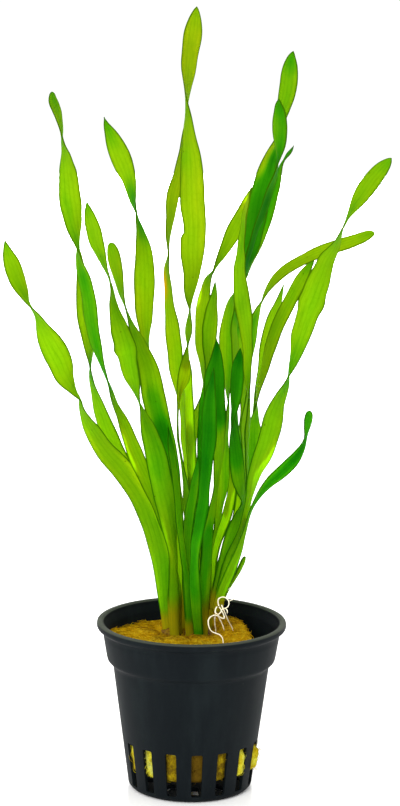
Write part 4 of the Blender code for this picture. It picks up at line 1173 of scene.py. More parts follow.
@dataclass
class Foliage:
    """Every leaf blade of the plant, as thin closed ribbons with wavy margins."""

    foot_width: float = 2.9
    foot_length: float = 28.0
    step: float = 1.0
    columns: int = 11
    middle_thickness: float = 0.34
    margin_thickness: float = 0.09
    foot_thickening: float = 1.8
    pinch_thickening: float = 0.8
    wave: float = 0.2
    wave_length: float = 24.0
    camber: float = 0.25
    foot_camber: float = 0.55
    twisted_camber: float = 0.2
    sunk_in_wool: float = 2.6
    sunk_in_crown: float = 1.2
    veins: int = 5
    # Painted shade down the middle of each blade and where it turns edge on, painted light at its margins
    middle_painted_shade: float = 0.1
    margin_painted_light: float = 0.06
    pinch_painted_shade: float = 0.17
    tip_shade: float = 0.16
    height_tint_span: float = 170.0
    seed: int = 5

    def blade(self, leaf: Leaf, number: int, finish: bpy.types.Material) -> bpy.types.Object:
        """Loft one leaf along its route, mark it and stand it for its CAD node.

        Args:
            leaf: Leaf to build.
            number: Its place in the list, which seeds its waves.
            finish: Leaf tissue.

        Returns:
            The finished leaf.
        """
        draw = np.random.default_rng(self.seed + number)
        sunk = self.sunk_in_crown if leaf.foot_height > BED_FOOT else self.sunk_in_wool
        centre, turn, up, along = leaf.route(sunk, self.step)
        length = along[-1]
        ahead = np.gradient(centre, axis=0)
        ahead /= np.linalg.norm(ahead, axis=1)[:, None]
        sight = np.array(EYE) - centre
        flat_side = np.cross(ahead, sight)
        flat_side /= np.linalg.norm(flat_side, axis=1)[:, None]
        side = flat_side * np.cos(turn)[:, None] + np.cross(flat_side, ahead) * np.sin(turn)[:, None]
        skin = np.cross(side, ahead)

        # Columns lie closer together near the margins, where the blade thins
        across = np.sin(np.linspace(-math.pi / 2, math.pi / 2, self.columns))
        half = leaf.width_at(np.maximum(along, 0), length) / 2
        settled = smoothstep(6, 34, along) * smoothstep(0, 14, length - along)
        phases = draw.uniform(0, 2 * math.pi, 6)
        scale = draw.uniform(0.6, 1.25, 2)
        waves = [self.wave * scale[i] * (np.sin(2 * math.pi * along / self.wave_length + phases[i])
                                         + 0.5 * np.sin(4.7 * math.pi * along / self.wave_length
                                                        + phases[i + 2])) for i in (0, 1)]
        reach = np.abs(across) ** 2.5
        wave = np.where(across[None, :] < 0, waves[0][:, None], waves[1][:, None]) * reach
        curl = (self.camber * np.sin(along / 31 + phases[4])
                + self.twisted_camber * np.abs(np.sin(turn)) ** 3 * np.sign(draw.uniform(-1, 1)))
        bow = curl[:, None] * (1 - across**2)
        lift = (wave + bow) * (settled * np.minimum(half / 2.5, 1))[:, None]
        gutter = self.foot_camber * (1 - smoothstep(8, 38, along)) * np.sign(np.cos(turn))
        lift = lift + gutter[:, None] * (1 - across**2)
        thick = self.margin_thickness + (self.middle_thickness - self.margin_thickness) * np.sqrt(
            np.clip(1 - across**2, 0, 1))
        swollen = 1 + (self.foot_thickening - 1) * (1 - smoothstep(0, 22, along))
        edge_on = 1 - smoothstep(0.05, 0.5, np.abs(np.cos(turn)))
        swollen = swollen * (1 + self.pinch_thickening * edge_on)
        tapered = np.minimum(half / 0.9, 1.0)
        skin_half = thick[None, :] / 2 * (swollen * tapered)[:, None]
        skin_half[:, [0, -1]] = 0.0

        # Each ring runs over the front face and back along the rear face
        order = np.concatenate([np.arange(self.columns), np.arange(self.columns - 2, 0, -1)])
        facing = np.concatenate([np.ones(self.columns), -np.ones(self.columns - 2)])
        offset = lift[:, order] + skin_half[:, order] * facing
        place = across[order][None, :] * half[:, None]
        front = across[order][None, :] * np.sign(np.cos(turn))[:, None]
        for nick in leaf.nicks:
            place = place - np.sign(place) * np.minimum(nick.bite(up, front), 0.6 * np.abs(place))
        rings = centre[:, None] + side[:, None] * place[..., None] + skin[:, None] * offset[..., None]
        mesh = loft(leaf.name, rings)
        self.mark(mesh, leaf, place, along, turn, up, number, across[order])
        piece = add_piece(leaf.name + "_blade", mesh, finish)
        settle(piece, "leaf_blade", leaf.name)
        return piece

    def mark(self, mesh: bpy.types.Mesh, leaf: Leaf, place: np.ndarray, along: np.ndarray,
             turn: np.ndarray, up: np.ndarray, number: int, across: np.ndarray) -> None:
        """Write where on the blade each point lies and how its tissue looks there.

        Args:
            mesh: Mesh of the blade.
            leaf: The leaf it shows.
            place: Distance of each point from the midrib in mm.
            along: Run of each ring from the foot.
            turn: Turn of each ring.
            up: Height of each ring on the upright plane.
            number: Number that keeps the blade's pattern its own.
            across: Place of each column from -1 to 1.
        """
        ones = np.ones_like(place)
        blade_place = np.stack([place, along[:, None] * ones, 37.0 * number * ones], axis=-1)
        # Painted shade deepens the tone where the blade turns edge on to the eye and down its middle, with
        # painted light at its margins. The tip deepens too, and the patches add their painted shade and
        # light over each leaf's age
        pinch = self.pinch_painted_shade * (1 - np.abs(np.cos(turn))) ** 2
        tip = self.tip_shade * (1 - smoothstep(1, 9, along[-1] - along))
        tone = (leaf.age.value + pinch + tip)[:, None] * ones - self.margin_painted_light
        tone = tone + (self.middle_painted_shade + self.margin_painted_light) * (1 - across**2)[None, :]
        warm = np.zeros_like(place)
        front = across[None, :] * np.sign(np.cos(turn))[:, None]
        for patch in leaf.patches:
            cover = patch.cover(up, front)
            tone = tone + patch.tone * cover
            warm = warm + patch.warm * cover
        pale = (1 - smoothstep(0.35 * leaf.foot.value, leaf.foot.value + 0.01, along)) * 0.92
        pale = pale[:, None] * ones * float(leaf.foot.value > 0)
        outer = np.where(place < 0, np.abs(place[:, :1]), place.max(axis=1, keepdims=True))
        edge = outer - np.abs(place)
        set_attribute(mesh, "blade_place", blade_place)
        set_attribute(mesh, "blade_look", np.stack([tone, warm, pale], axis=-1))
        set_attribute(mesh, "edge_mm", edge)
        # Share of the height that sets the painted light low down, the painted shade up high and the
        # margins' colour
        share = np.clip((up - BED_FOOT) / self.height_tint_span, 0, 1)
        set_attribute(mesh, "height_share", share[:, None] * ones)
        set_attribute(mesh, "lane", np.broadcast_to(across * self.veins / 2, place.shape).copy())

    def build(self, finish: bpy.types.Material) -> list[bpy.types.Object]:
        """Build every leaf in the list."""
        return [self.blade(leaf, number, finish) for number, leaf in enumerate(LEAVES)]


@dataclass(frozen=True)
class Root:
    """One bare root: (across, up, depth) points and its thickness at each end."""

    name: str
    points: tuple[tuple[float, float, float], ...]
    node: str = ""
    start_radius: float = 0.21
    end_radius: float = 0.14

    def build(self, sides: int, finish: bpy.types.Material) -> bpy.types.Object:
        """Sweep a round, slightly uneven root along its points.

        Args:
            sides: Sides of the round section.
            finish: Root flesh.

        Returns:
            The finished root.
        """
        fine = smooth_path(np.array(self.points, float), 10)
        centre = from_eye(fine[:, :2], fine[:, 2])
        ahead = np.gradient(centre, axis=0)
        ahead /= np.linalg.norm(ahead, axis=1)[:, None]
        frames = [np.array(Vector(ahead[0]).orthogonal().normalized())]
        for heading in ahead[1:]:
            carried = frames[-1] - heading * (frames[-1] @ heading)
            frames.append(carried / np.linalg.norm(carried))
        normal = np.array(frames)
        across = np.cross(ahead, normal)
        share = np.linspace(0, 1, len(centre))
        radius = self.start_radius + (self.end_radius - self.start_radius) * share
        radius = radius * (1 + 0.12 * np.sin(21 * share + len(self.name)))
        radius[[0, -1]] *= 0.45
        turn = np.linspace(0, 2 * math.pi, sides, endpoint=False)
        out = (normal[:, None] * np.cos(turn)[:, None] + across[:, None] * np.sin(turn)[:, None])
        rings = centre[:, None] + out * radius[:, None, None]
        piece = add_piece(self.name + "_thread", loft(self.name, rings), finish)
        settle(piece, "root_flesh", *([self.node] if self.node else []))
        return piece


# Heights at which the leaves' feet stand, in the wool's bed and on the raised crown
BED_FOOT = 44.6
RAISED_FOOT = 53.6

# Each leaf's age and patches set its tone. The darker ages and patches are partly painted shade where leaves
# overlap or stand in the tuft, and the lighter patches are partly painted light
LEAVES = (
    Leaf("leaf_tallest", Age.YOUNG, Foot.PALE, 7.4, 13, 0.6, BED_FOOT, (8.6, 4.5, 7.2, 16.1), (
        (1.8, 44.7, 14), (1.3, 57, 32), (0.2, 70.4, 60), (-1.4, 83.7, 70), (-3.1, 95.5, 85),
        (-4.3, 102.8, 88), (-4.6, 111.5, 92), (-4.2, 116.8, 102), (-2.9, 121.4, 120), (-2.4, 126.7, 105),
        (-2.1, 130.4, 90), (-1.8, 133.9, 75), (-1.7, 140.5, 90), (-1.7, 144.2, 110), (-1, 150.5, 130),
        (-0.9, 157.7, 162), (-0.7, 164.8, 180), (-1.1, 171.9, 190), (-1.4, 181.8, 212),
        (-1.9, 188.8, 235), (-2.5, 195, 255), (-2.7, 199.2, 270), (-2.7, 203.4, 287), (-2.4, 208.4, 304),
        (-1.9, 214.5, 314), (-1.2, 220.1, 330), (-0.4, 226, 330)),
         (Patch(178, 190, 0.25, Side.LEFT), Patch(188, 206, 0.12, Side.RIGHT),
          Patch(104, 128, -0.28, warm=0.15)),
         (Nick(162.6, Side.LEFT, 0.9, 9),)),
    Leaf("leaf_tall_left", Age.YOUNG, Foot.PALE, 5.7, 14, 0, BED_FOOT, (14.9, 21.8, 21.9, 25.5), (
        (1.2, 44.4, 194), (0.9, 55.5, 204), (0.5, 67.4, 225), (-0.2, 79.3, 230), (-0.9, 90.5, 236),
        (-1.7, 96.9, 242), (-2.5, 102.8, 248), (-2.9, 108.6, 252), (-3.4, 113.9, 245),
        (-4.3, 118.5, 230), (-5.2, 123.7, 222), (-5.6, 128.9, 218), (-6.3, 134.1, 220),
        (-7.1, 140.4, 235), (-7.6, 146.2, 244), (-8, 151.9, 254), (-7.8, 155.9, 270), (-7.9, 160.5, 282),
        (-7.2, 167.6, 298), (-6.2, 174.1, 314), (-4.8, 180.3, 303), (-4.1, 186, 292), (-3.5, 191.6, 290),
        (-3.1, 195, 290)),
         (Patch(141, 154, 0.0, Side.LEFT, warm=0.8), Patch(112, 136, 0.2, Side.RIGHT),
          Patch(104, 128, 0.05))),
    Leaf("leaf_far_left", Age.GROWN, Foot.SHORT, 7.4, 13, 0, BED_FOOT, (7.3, 8, 3.7, -8), (
        (-7, 45.5, 14), (-7.9, 55.4, 17), (-8.9, 67.3, 28), (-11.4, 77.4, 28), (-15.8, 87.7, 26),
        (-21, 94.7, 28), (-25.1, 99.3, 38), (-28.4, 104.3, 52), (-30.6, 108.3, 66), (-32, 111.8, 79),
        (-32.7, 114.6, 90), (-33.7, 116.1, 99), (-35.2, 118.6, 116), (-36.9, 121.5, 147),
        (-38.3, 125.1, 165), (-40.4, 129.5, 195), (-42.4, 133.7, 225), (-44.9, 138.6, 258),
        (-46.7, 141, 270), (-48.1, 144, 290), (-49.9, 147.7, 310), (-51.4, 151.4, 322),
        (-53, 155.7, 340), (-54.1, 160.1, 350)),
         (Patch(66, 108, -0.02, warm=0.1), Patch(136, 152, -0.16, Side.RIGHT), Patch(82, 126, -0.1),
          Patch(84, 104, -0.06, Side.LEFT), Patch(54, 84, 0.1, Side.RIGHT))),
    Leaf("leaf_left_high", Age.GROWN, Foot.PALE, 6.3, 5, 1, BED_FOOT, (6.1, 1.7, -4.3, -25.5), (
        (-4, 45, 166), (-4.4, 54, 153), (-4.9, 61.4, 120), (-5.9, 68.6, 102), (-7.1, 74.2, 108),
        (-8.8, 79.8, 117), (-10.8, 85.1, 126), (-13.3, 90.9, 132), (-15.7, 96.2, 134),
        (-17.8, 101.2, 132), (-19.4, 105.5, 126), (-21, 109.6, 116), (-22.3, 112.5, 108),
        (-23.6, 116.3, 98), (-24.9, 120.3, 88), (-26.1, 123.5, 80), (-27.1, 126.4, 72), (-28.3, 131, 62),
        (-29.4, 137.3, 51), (-30.1, 143, 48), (-31.4, 148.8, 56), (-32.7, 153.9, 72), (-33.2, 157.6, 90),
        (-33.4, 159.6, 106), (-34.1, 163, 127), (-35, 167.8, 154), (-35.6, 172.1, 190),
        (-35.9, 176.6, 210), (-36.3, 181.4, 229), (-36.7, 184.8, 246), (-37.2, 187, 258),
        (-37.5, 189.5, 270), (-38.2, 193.2, 282), (-38.8, 195.4, 292), (-39.6, 197.4, 296),
        (-40.6, 199.6, 298), (-41.1, 201.7, 298)),
         (Patch(114, 156, 0.22), Patch(152, 188, 0.15, Side.LEFT), Patch(90, 110, -0.27, Side.LEFT),
          Patch(84, 110, -0.06))),
    Leaf("leaf_left_mid", Age.GROWN, Foot.PALE, 6.9, 11, 0, BED_FOOT, (10.7, 11.9, 12.6, 13), (
        (-5.9, 45.2, 14), (-6.6, 53.9, 25), (-7.2, 61.4, 49), (-8.6, 68.8, 56), (-10.8, 76.2, 50),
        (-13.8, 82.7, 46), (-16.7, 88.5, 44), (-19.9, 94.4, 42), (-22.2, 99.1, 42), (-24.4, 104, 44),
        (-26, 108.9, 50), (-27.3, 112.7, 58), (-28.4, 116.5, 70), (-29.2, 120, 82), (-29.6, 122.6, 90),
        (-29.8, 126.6, 106), (-30.1, 131.5, 124), (-30.5, 137.3, 144), (-31, 143, 150),
        (-31.9, 148.8, 128), (-32.8, 153.9, 106), (-33.5, 158.2, 90), (-34.3, 160.7, 83),
        (-35.2, 163.3, 76), (-36, 165.8, 74), (-36.9, 167.9, 70)),
         (Patch(117, 130, 0.12), Patch(86, 100, -0.4, Side.RIGHT))),
    Leaf("leaf_left_broad", Age.GROWN, Foot.PALE, 6.6, 14, 0, BED_FOOT, (13.8, 17.8, 18.9, 35.4), (
        (-1.9, 44.4, 166), (-2.6, 57, 148), (-3.9, 70.4, 128), (-5.7, 83.7, 126), (-7.8, 95.4, 126),
        (-9.9, 105.6, 124), (-11.7, 115.8, 118), (-12.9, 123.6, 110), (-13.7, 128.8, 106),
        (-14.2, 133.2, 118), (-14.4, 138.1, 134), (-14.4, 143.2, 150), (-14.4, 149, 162),
        (-14.6, 154.7, 150), (-15, 158.9, 130), (-15.6, 162.6, 113), (-16.4, 165.8, 98),
        (-16.7, 167.6, 90), (-17.5, 171.1, 77), (-18.3, 174.5, 64), (-19.1, 177.9, 48), (-20.3, 181, 32),
        (-21.7, 184.4, 20), (-23.1, 187.7, 8), (-24.3, 190.5, 0), (-25.4, 192.8, 0), (-26.1, 195, 0)),
         (Patch(182, 198, 0.12), Patch(156, 180, 0.16), Patch(148, 176, 0.12, Side.RIGHT),
          Patch(126, 150, -0.2, Side.LEFT))),
    Leaf("leaf_left_inner", Age.GROWN, Foot.PALE, 6.6, 13, 0, BED_FOOT, (3, -1.2, -4.4, -25.3), (
        (-4.9, 45, 346), (-5.3, 54, 332), (-5.5, 62, 300), (-5.7, 69.7, 295), (-6.5, 76.3, 312),
        (-7.4, 82.2, 330), (-8.6, 88, 345), (-9.7, 93.3, 350), (-10.7, 98, 342), (-11.9, 102.1, 325),
        (-13.1, 105.6, 311), (-14.4, 109.1, 293), (-15.7, 113.3, 270), (-16.7, 116.6, 255),
        (-17.5, 119.5, 237), (-18.4, 123, 222), (-19.2, 127, 210), (-20.3, 131.1, 153),
        (-21.6, 135.1, 141), (-22.9, 139.4, 123), (-23.6, 143.1, 108), (-23.9, 146.6, 94),
        (-24.3, 148.8, 90), (-25.8, 152.5, 76), (-26.9, 155.7, 66), (-28.1, 159.4, 53),
        (-28.9, 163.1, 46), (-29.8, 166.7, 34), (-30.5, 169.6, 25), (-30.9, 171.4, 20)),
         (Patch(124, 162, 0.14, Side.RIGHT, warm=0.08), Patch(88, 112, 0.1),
          Patch(64, 88, -0.22, Side.LEFT), Patch(60, 82, -0.08))),
    Leaf("leaf_left_short", Age.GROWN, Foot.PALE, 7.2, 6, 1, BED_FOOT, (13.1, 12.6, 9, 6.1), (
        (-0.7, 44.4, 166), (-1.4, 58.5, 132), (-2.3, 70.4, 108), (-3.4, 77.8, 106), (-4.4, 85.1, 112),
        (-5.5, 92.5, 124), (-7, 98.4, 140), (-8.8, 104.2, 147), (-10.3, 110, 157), (-11.6, 115.8, 163),
        (-12.5, 120.7, 151), (-13.8, 125.4, 136), (-15.3, 129.1, 123), (-16.7, 132.8, 113),
        (-18.2, 136.3, 105), (-19.1, 138.9, 96), (-19.8, 141.2, 90), (-20.6, 144, 80),
        (-21.3, 146.9, 71), (-22.1, 150.3, 62), (-22.8, 154, 57), (-23.5, 157.4, 54), (-24.1, 159.6, 50)),
         (Patch(146, 162, -0.15), Patch(86, 112, 0.26), Patch(98, 122, 0.22, Side.MIDDLE))),
    Leaf("leaf_centre_strip", Age.LIME, Foot.PALE, 5.2, 9, 0, BED_FOOT, (9.7, 7.7, 4.8, 18.9), (
        (1.9, 44.4, 14), (1.2, 61.5, 50), (0.4, 76.3, 60), (-0.2, 91.1, 60), (-0.6, 101.4, 58),
        (-1.1, 108.7, 58), (-1.5, 114.5, 60), (-1.7, 118.8, 60), (-1.9, 123.8, 62), (-2.1, 128.4, 70)),
         (Patch(104, 126, -0.2), Patch(86, 104, -0.1))),
    Leaf("leaf_right_high", Age.GROWN, Foot.PALE, 6.3, 9, 0.45, BED_FOOT, (12.3, 12.6, 12.5, 5.8), (
        (4.7, 45.7, 166), (4.9, 54.1, 154), (5.3, 63, 117), (6, 70.5, 106), (6.8, 76.4, 108),
        (7.4, 81.7, 114), (7.9, 86.5, 124), (8.2, 91.2, 134), (8.2, 96.5, 132), (8.7, 101.5, 118),
        (9.4, 107.3, 102), (9.7, 113.4, 90), (9.5, 116.9, 76), (9.4, 120.4, 63), (9.5, 124.5, 54),
        (9.3, 128.5, 46), (9.3, 132.6, 42), (9.4, 136.3, 48), (9.7, 139.8, 56), (10.4, 142.7, 66),
        (11.6, 145.2, 78), (13.3, 148.1, 90), (14.4, 151.6, 102), (15.1, 155.6, 122), (15.8, 159.3, 138),
        (16.4, 163.6, 150), (17.1, 167.8, 160), (17.7, 172.1, 160), (18.6, 176.4, 152),
        (19.8, 180.6, 140), (21, 184.9, 122), (22.4, 188.8, 104), (23, 191.9, 86), (23.5, 195.3, 68),
        (24.3, 198.6, 52), (25, 201.4, 42), (25.4, 204.2, 36), (25.7, 207, 32), (26, 209.8, 28),
        (26.3, 212.3, 26), (26.7, 214, 26)),
         (Patch(186, 218, 0.14), Patch(148, 190, 0.42), Patch(176, 192, -0.55, Side.LEFT),
          Patch(148, 176, 0.1, Side.RIGHT), Patch(78, 144, 0.16, Side.RIGHT))),
    Leaf("leaf_right_upper", Age.SHADED, Foot.SHORT, 5.2, 9, 0.55, RAISED_FOOT,
         (4.6, 3.4, 1.3, -15.1), (
        (6.9, 54.7, 166), (7.8, 61.6, 160), (9.4, 69, 138), (11.4, 76.5, 118), (13, 83.9, 112),
        (13.6, 91.2, 108), (13.1, 98.6, 106), (12.1, 105.9, 104), (11.7, 113.2, 106), (11.8, 119, 110),
        (11.7, 124.8, 112), (11.4, 130.6, 112), (11.2, 134.9, 110), (11.7, 140.1, 108),
        (12.9, 146.4, 104), (14.3, 153.6, 102), (15.8, 159.3, 106), (17.5, 165, 112), (19.4, 170.7, 114),
        (21, 175.8, 108), (22.4, 180.1, 98), (22.9, 182.9, 88), (23.1, 185.2, 72), (23.2, 187.7, 54),
        (23.2, 191.1, 38), (23.2, 194.1, 32), (23.2, 196.9, 30), (22.9, 199.2, 28), (22.9, 200.6, 28)),
         (Patch(148, 178, 0.26), Patch(176, 200, 0.12, Side.RIGHT), Patch(112, 140, -0.32),
          Patch(70, 100, -0.7))),
    Leaf("leaf_right_spike", Age.SHADED, Foot.SHORT, 6.9, 17, 0.4, RAISED_FOOT, (7, 19.4, 25.6, 33.2), (
        (6.7, 54.4, 166), (7.4, 58, 165), (8.8, 64.6, 147), (10.6, 72, 116), (12.5, 79.4, 104),
        (13.8, 86, 100), (14, 94.2, 102), (13.6, 101.5, 104), (13.7, 107.4, 106), (14, 113.2, 104),
        (14, 118.1, 108), (13.3, 123.4, 116), (12.5, 128.6, 120), (12.2, 133.5, 118), (12.3, 138.4, 110),
        (12.9, 143.5, 98), (13.8, 148.7, 86), (15, 153.6, 74), (16.1, 157.9, 58), (17.2, 161.9, 38),
        (18.2, 165.9, 22), (19.4, 169.9, 24), (20.8, 173.8, 42), (22.3, 177.5, 62), (23.1, 179.8, 72),
        (23.9, 182.1, 80), (24.7, 183.6, 86), (25.8, 185.2, 66), (26.6, 186.3, 58), (27.3, 187.6, 56)),
         (Patch(160, 182, 0.17), Patch(104, 136, -0.24))),
    Leaf("leaf_far_right", Age.GROWN, Foot.SHORT, 7.7, 9, 0.6, RAISED_FOOT,
         (0.1, -10.2, -13.1, -14.9), (
        (7.6, 54.4, 346), (8.3, 57.4, 346), (10, 62.8, 336), (11.6, 68.2, 315), (13.3, 73.5, 294),
        (14.7, 78.9, 286), (15.7, 83.9, 285), (16.7, 88.3, 289), (17.9, 93.1, 299), (19.3, 97.2, 309),
        (20.8, 101.3, 315), (21.9, 105.4, 321), (22.8, 109.5, 318), (23.8, 113.3, 304), (25, 116.5, 292),
        (26.2, 119.4, 279), (26.7, 121.2, 272), (27.2, 123.2, 262), (28.1, 126.1, 251),
        (29.1, 129.3, 240), (30, 132.8, 228), (31.2, 136.8, 219), (32.4, 140.9, 207), (33.6, 144.9, 158),
        (34.8, 148.7, 150), (36, 152.4, 138), (37.2, 155.6, 129), (38.7, 158.1, 116), (40.1, 161, 101),
        (41.2, 163.7, 92), (42.1, 165.6, 86), (43.5, 168.7, 77), (44.8, 171, 66), (46.5, 173.6, 56),
        (48.1, 176.1, 51), (50, 178.7, 50), (51.9, 181, 46), (53.7, 183, 42), (54.8, 184.4, 40)),
         (Patch(114, 136, 0.12), Patch(78, 106, -0.3, Side.RIGHT), Patch(76, 100, -0.4, Side.MIDDLE),
          Patch(56, 88, -0.12))),
    Leaf("leaf_right_leaning", Age.YOUNG, Foot.SHORT, 4.9, 5, 1, RAISED_FOOT, (5.5, 10.3, 12.9, 13.4), (
        (7.2, 54.7, 166), (8, 59.2, 164), (9.8, 66.7, 139), (11.7, 73.5, 111), (13.6, 80.9, 102),
        (15, 87.7, 98), (15, 94.2, 100), (14.4, 100.1, 104), (14.3, 105.3, 112), (14.7, 109.7, 116),
        (15.2, 113.5, 106), (15.5, 117, 97), (15.5, 120.5, 102), (15.6, 124.8, 112), (15.8, 129.2, 120),
        (16.3, 133.5, 124), (17, 137.8, 118), (18, 141.3, 104), (19.4, 144.2, 87), (20.9, 147.1, 73),
        (22.6, 149.7, 60), (24.8, 151.8, 54), (27.6, 153.7, 47), (31, 155.6, 45), (35.2, 157.5, 43),
        (39.4, 159.1, 43), (43.1, 160.3, 43), (46.4, 161.5, 46), (49.2, 162.7, 45), (50.6, 163.1, 45)),
         (Patch(144, 172, 0.1, warm=0.06), Patch(124, 144, 0.32))),
    Leaf("leaf_centre_right", Age.GROWN, Foot.SHORT, 5.4, 11, 0, RAISED_FOOT, (3.8, 1.9, -2.4, -27.7), (
        (7.6, 55.6, 166), (9.2, 62.2, 159), (11.2, 69, 128), (13.1, 76.5, 99), (14.7, 83.9, 96),
        (15.5, 91.3, 98), (15.2, 98.6, 100), (15.3, 105.9, 100), (15.5, 111.8, 96), (15.4, 115.8, 88),
        (15.2, 119.3, 80), (15.1, 122.8, 68), (15.1, 126.9, 58), (14.9, 131.2, 52), (14.4, 135.5, 44),
        (13.9, 139.8, 34), (13.3, 144.1, 33), (12.8, 148.7, 42), (12.6, 152.7, 48), (12.8, 156.4, 60),
        (13, 159.8, 72), (13.3, 163.5, 77), (13.8, 167.8, 77), (14.8, 172.1, 76), (15.4, 176, 75)),
         (Patch(164, 180, -0.4), Patch(86, 144, -0.16, Side.LEFT), Patch(104, 118, -0.14))),
    Leaf("leaf_right_slanting", Age.GROWN, Foot.PALE, 5.7, 11, 0, BED_FOOT, (12.5, 14.4, 16, 25.9), (
        (1.6, 44.1, 346), (1.2, 54, 331), (0.5, 64.5, 298), (0, 74.9, 296), (-0.2, 83.7, 296),
        (-0.3, 91.1, 297), (-0.4, 97, 300), (-0.4, 101.4, 303), (-0.2, 105.2, 303), (0.5, 108.7, 301),
        (1.5, 112.2, 292), (2.3, 115.1, 282), (2.8, 118.3, 270), (2.7, 121.8, 262), (2.5, 125.5, 249),
        (2.1, 129, 236), (1.9, 133.3, 226), (1.9, 137.7, 222), (2.3, 142, 226), (2.9, 146, 238),
        (3.7, 149.2, 252), (5, 151.6, 270), (6.1, 153.9, 280), (7.3, 156.4, 294), (9, 159.8, 312),
        (10.8, 163.5, 324), (12.4, 166.7, 320), (14.1, 169.8, 316), (16.3, 174.1, 308),
        (18.5, 178.3, 300), (19.6, 181.2, 300)),
         (Patch(166, 180, -0.4, Side.LEFT), Patch(138, 150, -0.36, Side.LEFT), Patch(108, 150, -0.1))),
    Leaf("leaf_right_band", Age.YOUNG, Foot.SHORT, 5.2, 9, 0, RAISED_FOOT, (6.3, 15.3, 23.1, 24.3), (
        (7.2, 55, 166), (7.8, 58.6, 165), (9.6, 65.8, 143), (11.7, 72.6, 111), (13.6, 79.5, 98),
        (15, 84.8, 94), (15.8, 88.9, 96), (16.3, 92.8, 104), (16.9, 96, 120), (17.2, 99.2, 142),
        (17.3, 102.4, 150), (17.3, 105.9, 144), (17.5, 108.9, 124), (17.9, 111.5, 107), (18, 113.8, 90),
        (18.4, 116.7, 78), (19.2, 120.2, 71), (20.2, 124.3, 60), (21.1, 128.4, 53), (22.3, 132.4, 47),
        (23.8, 136.5, 42), (25.6, 140.5, 40), (27.5, 144.6, 38), (29.4, 148.3, 40), (31.3, 151.8, 46),
        (33, 154.6, 45), (33.8, 156.4, 45)),
         (Patch(140, 162, 0.2), Patch(130, 150, 0.12, Side.MIDDLE), Patch(86, 116, 0.32))),
    Leaf("leaf_right_band_inner", Age.GROWN, Foot.SHORT, 4.9, 10, 0, RAISED_FOOT,
         (8.2, 23.9, 29.9, 35.1), (
        (7.5, 55, 346), (8.7, 62.2, 337), (10.6, 68.7, 306), (12.7, 75.6, 280), (14.5, 82.4, 276),
        (15.5, 89.2, 276), (16.1, 95.7, 278), (16.6, 101.6, 278), (17.1, 107.4, 276), (17.6, 112.4, 274),
        (17.9, 116.7, 280), (18.5, 120.5, 292), (19.3, 124.3, 304), (20, 128.1, 312), (20.6, 131.8, 317),
        (21.4, 135.6, 318), (22.5, 139.3, 315), (23.6, 142.8, 304), (24.5, 146, 298), (25.3, 148.8, 300))),
    Leaf("leaf_centre_mid", Age.GROWN, Foot.PALE, 4.9, 10, 0, BED_FOOT, (10.9, 8.7, 8.7, -6.3), (
        (2.6, 44.1, 194), (2.4, 55.5, 216), (2.1, 66, 248), (2, 76.4, 250), (2, 85.2, 252),
        (2.4, 91.1, 242), (2.8, 97, 225), (3, 102.9, 215), (3.1, 108.7, 215), (3.2, 113.1, 226),
        (3.3, 116.9, 244), (3.4, 120.3, 262), (3.6, 123.8, 280), (3.8, 126.7, 294), (4, 129.6, 315),
        (4.2, 132.8, 330), (4.3, 136, 336), (4.6, 139.1, 322), (4.8, 142, 310), (5.2, 144.9, 302),
        (5.5, 147.5, 302), (5.6, 149.2, 305)),
         (Patch(119, 130, -0.14), Patch(84, 120, 0.36))),
    Leaf("leaf_centre_dark", Age.DEEP, Foot.PALE, 6.6, 13, 0, BED_FOOT, (3.1, -2.4, -6.7, -19.7), (
        (3.4, 44.8, 346), (3.5, 57, 324), (4, 67.5, 300), (4.7, 76.4, 294), (5.7, 83.8, 286),
        (6.5, 89.7, 282), (7.1, 94.7, 288), (7.3, 99.4, 298), (7, 103.5, 312), (6.5, 107.3, 330),
        (6, 111.7, 338), (5.8, 116, 336), (5.8, 120.4, 330), (5.9, 123.9, 324), (6.1, 127, 320),
        (6.2, 130.2, 320), (6.2, 132.5, 320)),
         (Patch(76, 110, -0.48), Patch(44, 84, -0.22), Patch(42, 66, -0.35, Side.RIGHT))),
    Leaf("leaf_centre_dark_inner", Age.DEEP, Foot.GREEN, 5.2, 10, 0, BED_FOOT,
         (1.3, -8.6, -13.3, -20.4), (
        (2.1, 44.4, 14), (1.2, 55.5, 33), (0.8, 66, 60), (1.2, 73.4, 54), (2.1, 79.3, 50),
        (3.1, 85.2, 52), (3.6, 91.1, 52), (3.9, 97, 44), (4.3, 102.9, 36), (4.5, 108.7, 36),
        (4.7, 113.7, 46), (5, 117.7, 54), (5.4, 121.5, 58), (5.6, 124.1, 60)),
         (Patch(86, 112, 0.1), Patch(54, 78, -0.14), Patch(54, 80, -0.1, Side.RIGHT), Patch(42, 60, -0.35))),
    Leaf("leaf_right_dark", Age.DEEP, Foot.SHORT, 5.2, 8, 0.3, RAISED_FOOT, (1, -3, -6.4, -19.6), (
        (6.7, 55, 166), (7.4, 59.2, 165), (8.5, 64, 157), (9.9, 69, 156), (11.3, 73.5, 161),
        (12.7, 78, 145), (13.7, 82.1, 120), (14.4, 85.4, 98), (14, 87.7, 118), (13.2, 91.2, 142),
        (12.6, 95.6, 144), (12.1, 99.5, 137), (11.7, 103, 126), (11.4, 106.5, 109), (11.2, 109.1, 90),
        (11.6, 112.6, 68), (12, 116.1, 50), (12.3, 120.4, 44), (12.5, 124.2, 46), (13, 127.4, 50),
        (13.1, 129.7, 50)),
         (Patch(92, 120, -0.12), Patch(44, 98, -0.42), Patch(42, 64, -0.3))),
    Leaf("leaf_right_low", Age.SHADED, Foot.SHORT, 3.7, 3, 1, RAISED_FOOT, (-1.2, -9.6, -10.5, -13.8), (
        (7.7, 54.7, 346), (8.2, 56.5, 346), (10, 61.6, 339), (11.9, 66.7, 319), (13.7, 71.8, 297),
        (15.1, 76.5, 284), (16, 80.1, 282), (16.9, 82.7, 284), (18.2, 85.4, 290), (19.8, 88.1, 303),
